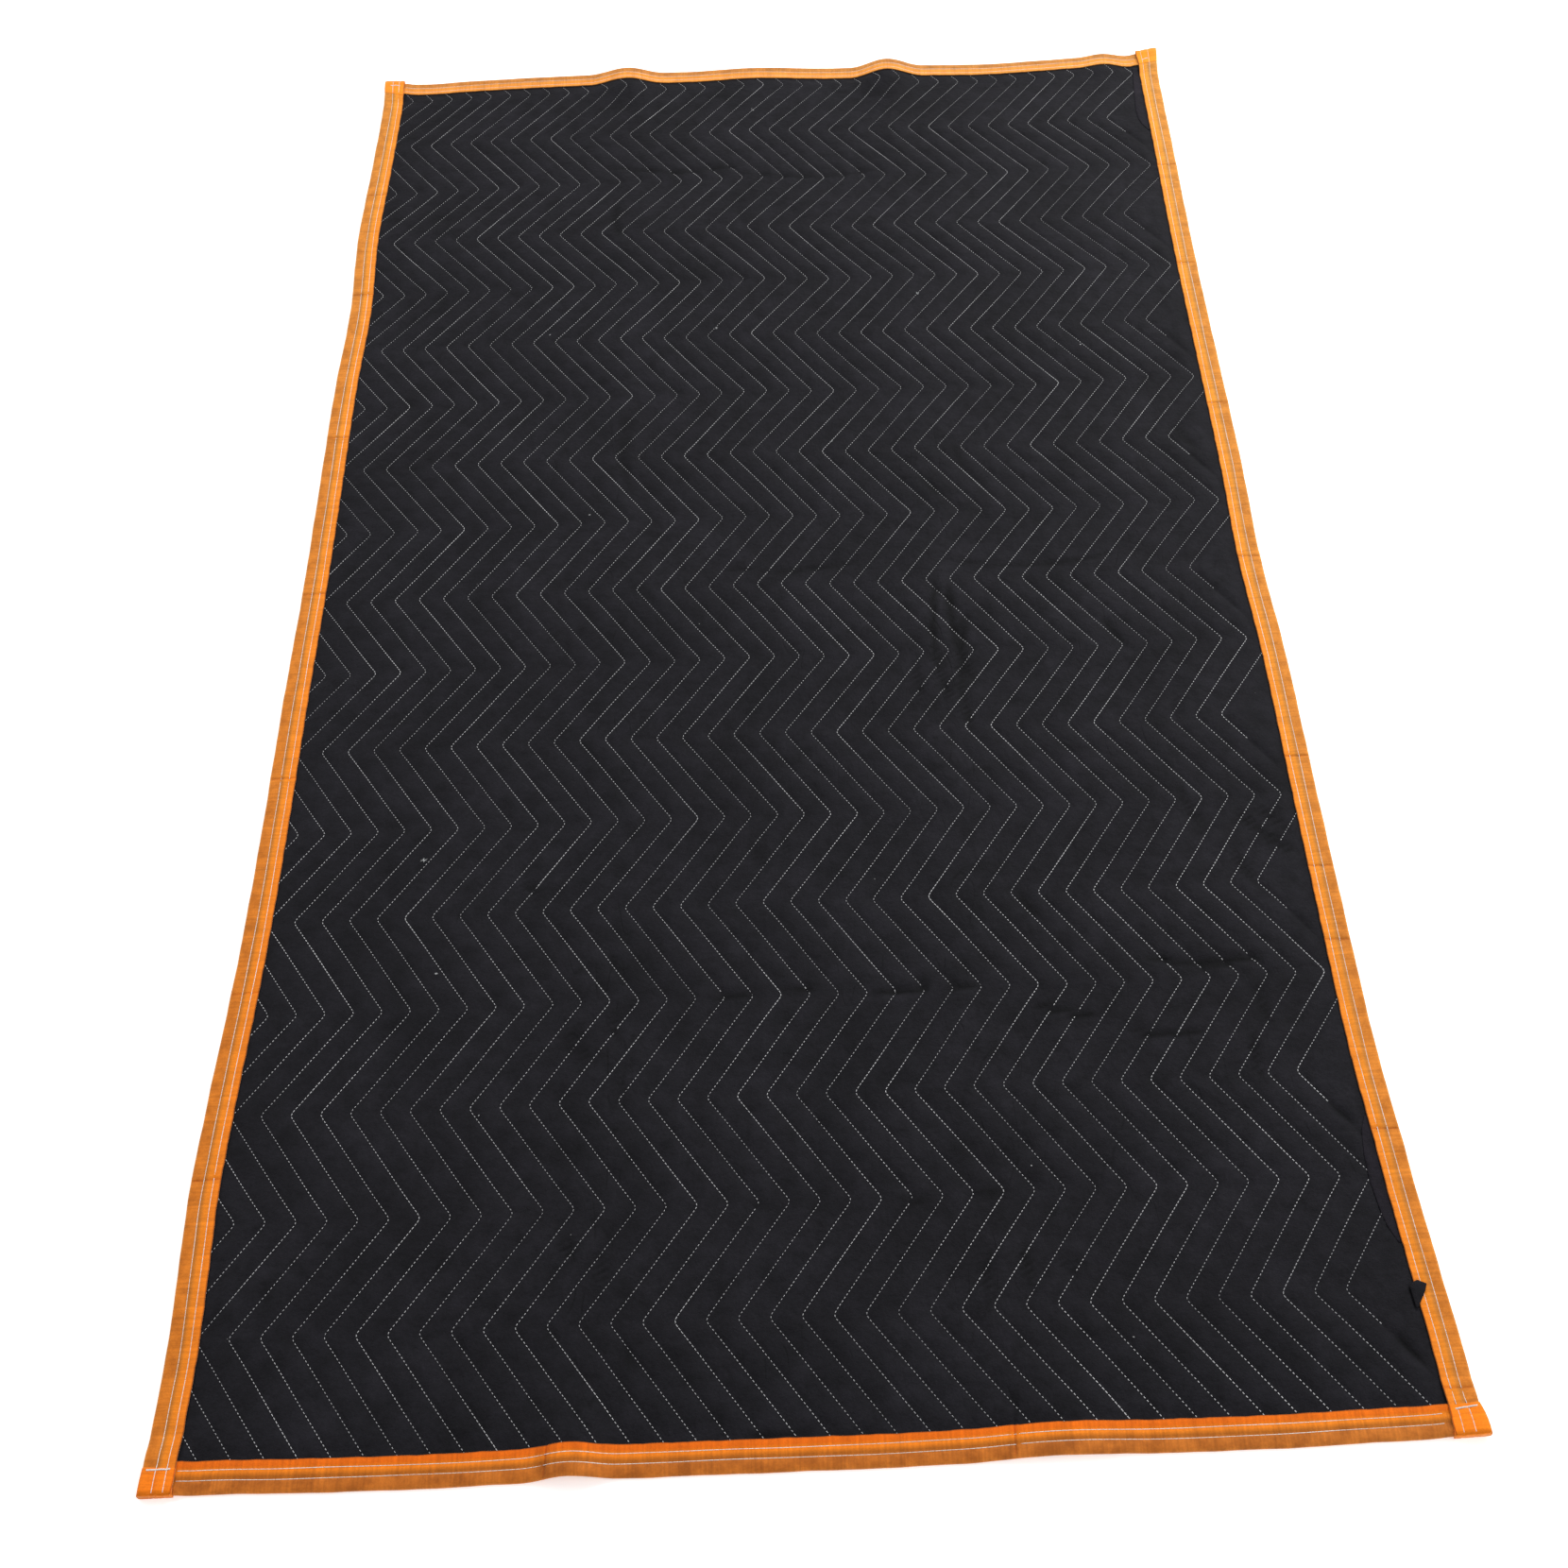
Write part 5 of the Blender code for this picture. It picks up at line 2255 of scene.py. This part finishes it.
@dataclass(frozen=True)
class TuckedFlap:
    """Spare cover cloth turned back over the face along the right binding.

    Attributes:
        name: The piece's name.
        cloth: The quilted cloth that it lies on.
        fold: Its fold line, in order along y.
        cut_width: Its width when flat; not used.
        thickness: Its thickness.
        step: Length of a cell of its grid along the pad.
    """

    name: str
    cloth: QuiltedCloth
    fold: Tuple[EdgePoint, ...]
    cut_width: float
    thickness: float = 0.8
    step: float = 3.0

    def build(self) -> bpy.types.Object:
        """Make the flap from its fold line to just under the binding's lip.

        Returns:
            The piece.
        """
        rows = np.array([(point.y, point.from_edge) for point in self.fold])
        y = np.linspace(rows[0, 0], rows[-1, 0], round((rows[-1, 0] - rows[0, 0]) / self.step))
        fold = np.interp(y, rows[:, 0], rows[:, 1])
        lip = self.cloth.edge.strip_width + 0.2
        fold = np.maximum(fold, lip + 0.4)
        columns = []
        for share, rise in FLAP_PROFILE:
            from_edge = fold + (lip - fold) * share
            x = self.cloth.lay.width - from_edge
            line = self.cloth.lines.line_near(x, y)
            z = self.cloth.face_height(x, y, line) + self.thickness * rise
            columns.append(self.cloth.lay.lay(x, y, z))
        cloth = Cloth()
        grid = cloth.add_points(np.stack(columns, axis=1))
        cloth.add_grid(np.concatenate([grid, grid[:, :1]], axis=1))
        cloth.add_face(grid[0])
        cloth.add_face(grid[-1])
        piece = cloth.make(self.name, [Finish.BLACK_BACKING], BLACK_CLOTH)
        return piece


class Tuft(NamedTuple):
    """A bit of white lint: where it lies, how long it is and which way it points, in degrees."""

    x: float
    y: float
    length: float
    turn: float


@dataclass(frozen=True)
class Lint:
    """White lint that clings to the face.

    Attributes:
        cloth: The quilted cloth that it lies on.
        tufts: The bits of lint.
        fibres: Number of fibres in each.
        turn_step: How far each is turned from the one before, in degrees.
        shortening: How much shorter each is, as a share of the tuft's length.
        thread: Width of a fibre, in millimetres.
        height: How far it stands off its base.
        clearance: How far that lies over the cloth.
    """

    cloth: QuiltedCloth
    tufts: Tuple[Tuft, ...] = (
        Tuft(160.0, 576.0, 8.0, 25.0),
        Tuft(184.0, 452.0, 4.0, 10.0),
        Tuft(237.0, 309.0, 2.0, 60.0),
        Tuft(437.0, 1311.0, 5.0, 120.0),
        Tuft(676.0, 1362.0, 6.0, 130.0),
        Tuft(566.0, 1118.0, 3.0, 30.0),
        Tuft(860.0, 1262.0, 3.0, 90.0),
    )
    fibres: int = 5
    turn_step: float = 31.0
    shortening: float = 0.07
    thread: float = 0.5
    height: float = 0.3
    clearance: float = 0.3

    def build(self) -> bpy.types.Object:
        """Make the lint.

        Returns:
            The piece.
        """
        count = np.arange(self.fibres)
        starts: List[Array] = []
        ends: List[Array] = []
        for tuft in self.tufts:
            turns = np.radians(tuft.turn + self.turn_step * count * (-1.0) ** count)
            reach = tuft.length * (0.5 - self.shortening * count)
            for sign, into in ((-1.0, starts), (1.0, ends)):
                x = tuft.x + sign * reach * np.cos(turns)
                y = tuft.y + sign * reach * np.sin(turns)
                line = self.cloth.lines.line_near(x, y)
                z = self.cloth.face_height(x, y, line) + self.clearance
                into.append(self.cloth.lay.lay(x, y, z))
        rows = (np.concatenate(starts), np.concatenate(ends))
        return sew("lint", Stitches.even(*rows, self.thread, self.height), Finish.WHITE_LINT)


@dataclass(frozen=True)
class PhotoCamera:
    """The camera that took the photograph, in metres and degrees.

    Attributes:
        position: Where it stands.
        down: How far it looks down from level.
        turn: How far it is turned to the left of +Y.
        roll: How far it is rolled.
        lens: Focal length, in millimetres.
        sensor_width: Width of its sensor.
        shift_x: Sideways shift of the picture, as a share of its width.
    """

    position: Triple = (0.0365, -1.4094, 1.4966)
    down: float = 52.7065
    turn: float = -1.2788
    roll: float = -1.5088
    lens: float = 45.327
    sensor_width: float = 36.0
    shift_x: float = -0.04761

    def build(self) -> bpy.types.Object:
        """Make the camera and look through it.

        Returns:
            The camera.
        """
        data = bpy.data.cameras.new("photo_camera")
        data.lens = self.lens
        data.sensor_width = self.sensor_width
        data.sensor_fit = "HORIZONTAL"
        data.shift_x = self.shift_x
        data.dof.use_dof = False
        data.clip_end = 100.0
        camera = bpy.data.objects.new("photo_camera", data)
        down, turn = math.radians(self.down), math.radians(self.turn)
        level = math.cos(down)
        ahead = Vector((-math.sin(turn) * level, math.cos(turn) * level, -math.sin(down)))
        camera.location = self.position
        camera.rotation_mode = "QUATERNION"
        roll = Quaternion((0.0, 0.0, 1.0), math.radians(self.roll))
        camera.rotation_quaternion = ahead.to_track_quat("-Z", "Y") @ roll
        bpy.context.scene.collection.objects.link(camera)
        bpy.context.scene.camera = camera
        return camera


class Softbox(NamedTuple):
    """A square studio light: where it is, what it points at, its side in metres and its watts."""

    name: str
    place: Triple
    target: Triple
    side: float
    watts: float


@dataclass(frozen=True)
class Studio:
    """A pale floor and soft lights.

    Attributes:
        lights: The softboxes.
        floor_size: Side of the floor, in metres.
        floor_colour: Its colour.
        floor_glow: How much light it gives off itself.
        floor_drop: How far it lies under the pad, so that their faces don't coincide, in metres.
        sky: Brightness of the even light from all round.
    """

    lights: Tuple[Softbox, ...] = (
        Softbox("key_light", (1.9, 2.3, 2.8), (0.2, 0.5, 0.0), 2.4, 125.0),
        Softbox("fill_light", (-2.4, 0.8, 2.8), (0.0, 0.3, 0.0), 2.2, 46.0),
        Softbox("front_light", (2.6, -1.6, 2.6), (0.3, -0.6, 0.0), 2.0, 42.0),
    )
    floor_size: float = 30.0
    floor_colour: Colour = (0.92, 0.92, 0.92)
    floor_glow: float = 0.45
    floor_drop: float = 0.0002
    sky: float = 0.38

    def build(self) -> None:
        """Make the floor, the lights and the even light."""
        half = self.floor_size / 2
        mesh = bpy.data.meshes.new("studio_floor")
        low = -self.floor_drop
        corners = [(-half, -half, low), (half, -half, low), (half, half, low), (-half, half, low)]
        mesh.from_pydata(corners, [], [(0, 1, 2, 3)])
        make = Shading("studio_floor")
        make.set(
            Base_Color=self.floor_colour,
            Roughness=0.9,
            Specular_IOR_Level=0.1,
            Emission_Color=(1.0, 1.0, 1.0),
            Emission_Strength=self.floor_glow,
        )
        mesh.materials.append(make.material)
        floor = bpy.data.objects.new("studio_floor", mesh)
        bpy.context.scene.collection.objects.link(floor)
        for box in self.lights:
            data = bpy.data.lights.new(box.name, "AREA")
            data.shape = "SQUARE"
            data.size = box.side
            data.energy = box.watts
            light = bpy.data.objects.new(box.name, data)
            light.location = box.place
            light.rotation_mode = "QUATERNION"
            beam = Vector(box.target) - Vector(box.place)
            light.rotation_quaternion = beam.to_track_quat("-Z", "Y")
            bpy.context.scene.collection.objects.link(light)
        world = bpy.data.worlds.new("studio")
        world.use_nodes = True
        background = world.node_tree.nodes["Background"]
        background.inputs["Color"].default_value = (1.0, 1.0, 1.0, 1.0)
        background.inputs["Strength"].default_value = self.sky
        bpy.context.scene.world = world
        view = bpy.context.scene.view_settings
        view.view_transform = "Standard"
        view.look = "None"
        view.exposure = 0.0


def main() -> None:
    """Build the pad's pieces, the studio and the camera."""
    logging.basicConfig(level=logging.INFO, format="%(message)s")
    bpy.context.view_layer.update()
    lay = PadLay()
    edge = SewnEdge()
    lines = Zigzag()
    quilted = QuiltedCloth(lay, edge, lines, creases=FACE_CREASES)
    quilted.build()
    QuiltingSeams("face_quilting", quilted).build()
    QuiltingSeams("back_quilting", quilted, under=True).build()
    bindings = {
        Side.LEFT: Binding(
            Side.LEFT, lay, edge, FoldedEnd(21.0, 19.0, 0.8), FoldedEnd(23.0, 31.0, 0.8),
            rows=(SeamRow(11.1), SeamRow(19.2)),
            marks=(259.0, 439.0, 679.0, 919.0, 1154.0, 1399.0, 1591.0),
            lip_shift=0.6,
        ),
        Side.RIGHT: Binding(
            Side.RIGHT, lay, edge, FoldedEnd(24.0, 23.0, 3.4), FoldedEnd(24.0, 26.0, 0.8, 2.5),
            rows=(SeamRow(10.5), SeamRow(18.9)),
            marks=(37.0, 259.0, 447.0, 527.0, 655.0, 919.0, 1154.0, 1399.0, 1591.0),
            lip_shift=-0.5,
        ),
        Side.NEAR: Binding(Side.NEAR, lay, edge, marks=(305.0, 660.0)),
        Side.FAR: Binding(Side.FAR, lay, edge, rows=(SeamRow(10.8), SeamRow(19.0))),
    }
    for binding in bindings.values():
        binding.build()
    BindingSeams("face_binding_thread", list(bindings.values())).build()
    BindingSeams("back_binding_thread", list(bindings.values()), under=True).build()
    tacks = [
        Tack(Side.LEFT, 4.0, 18.5, 22.0, 18.5),
        Tack(Side.RIGHT, 20.0, 19.7, 3.0, 21.2),
        Tack(Side.LEFT, 8.0, 1819.0, 20.0, 1819.0),
        Tack(Side.RIGHT, 20.0, 1811.0, 12.0, 1812.0),
    ]
    CornerTacks(bindings, tacks).build()
    LooseTip(lay, edge).build()
    near_fold = (
        EdgePoint(27.0, 158.0),
        EdgePoint(33.0, 172.0),
        EdgePoint(35.5, 190.0),
        EdgePoint(37.0, 210.0),
        EdgePoint(36.5, 235.0),
        EdgePoint(33.0, 258.0),
        EdgePoint(27.0, 272.0),
    )
    far_fold = (
        EdgePoint(27.0, 1666.0),
        EdgePoint(34.0, 1675.0),
        EdgePoint(38.0, 1688.0),
        EdgePoint(39.0, 1705.0),
        EdgePoint(37.5, 1735.0),
        EdgePoint(35.0, 1770.0),
        EdgePoint(33.0, 1799.0),
    )
    TuckedFlap("near_flap", quilted, near_fold, 10.0).build()
    TuckedFlap("far_flap", quilted, far_fold, 13.0).build()
    Lint(quilted).build()
    Studio().build()
    PhotoCamera().build()


if __name__ == "__main__":
    main()
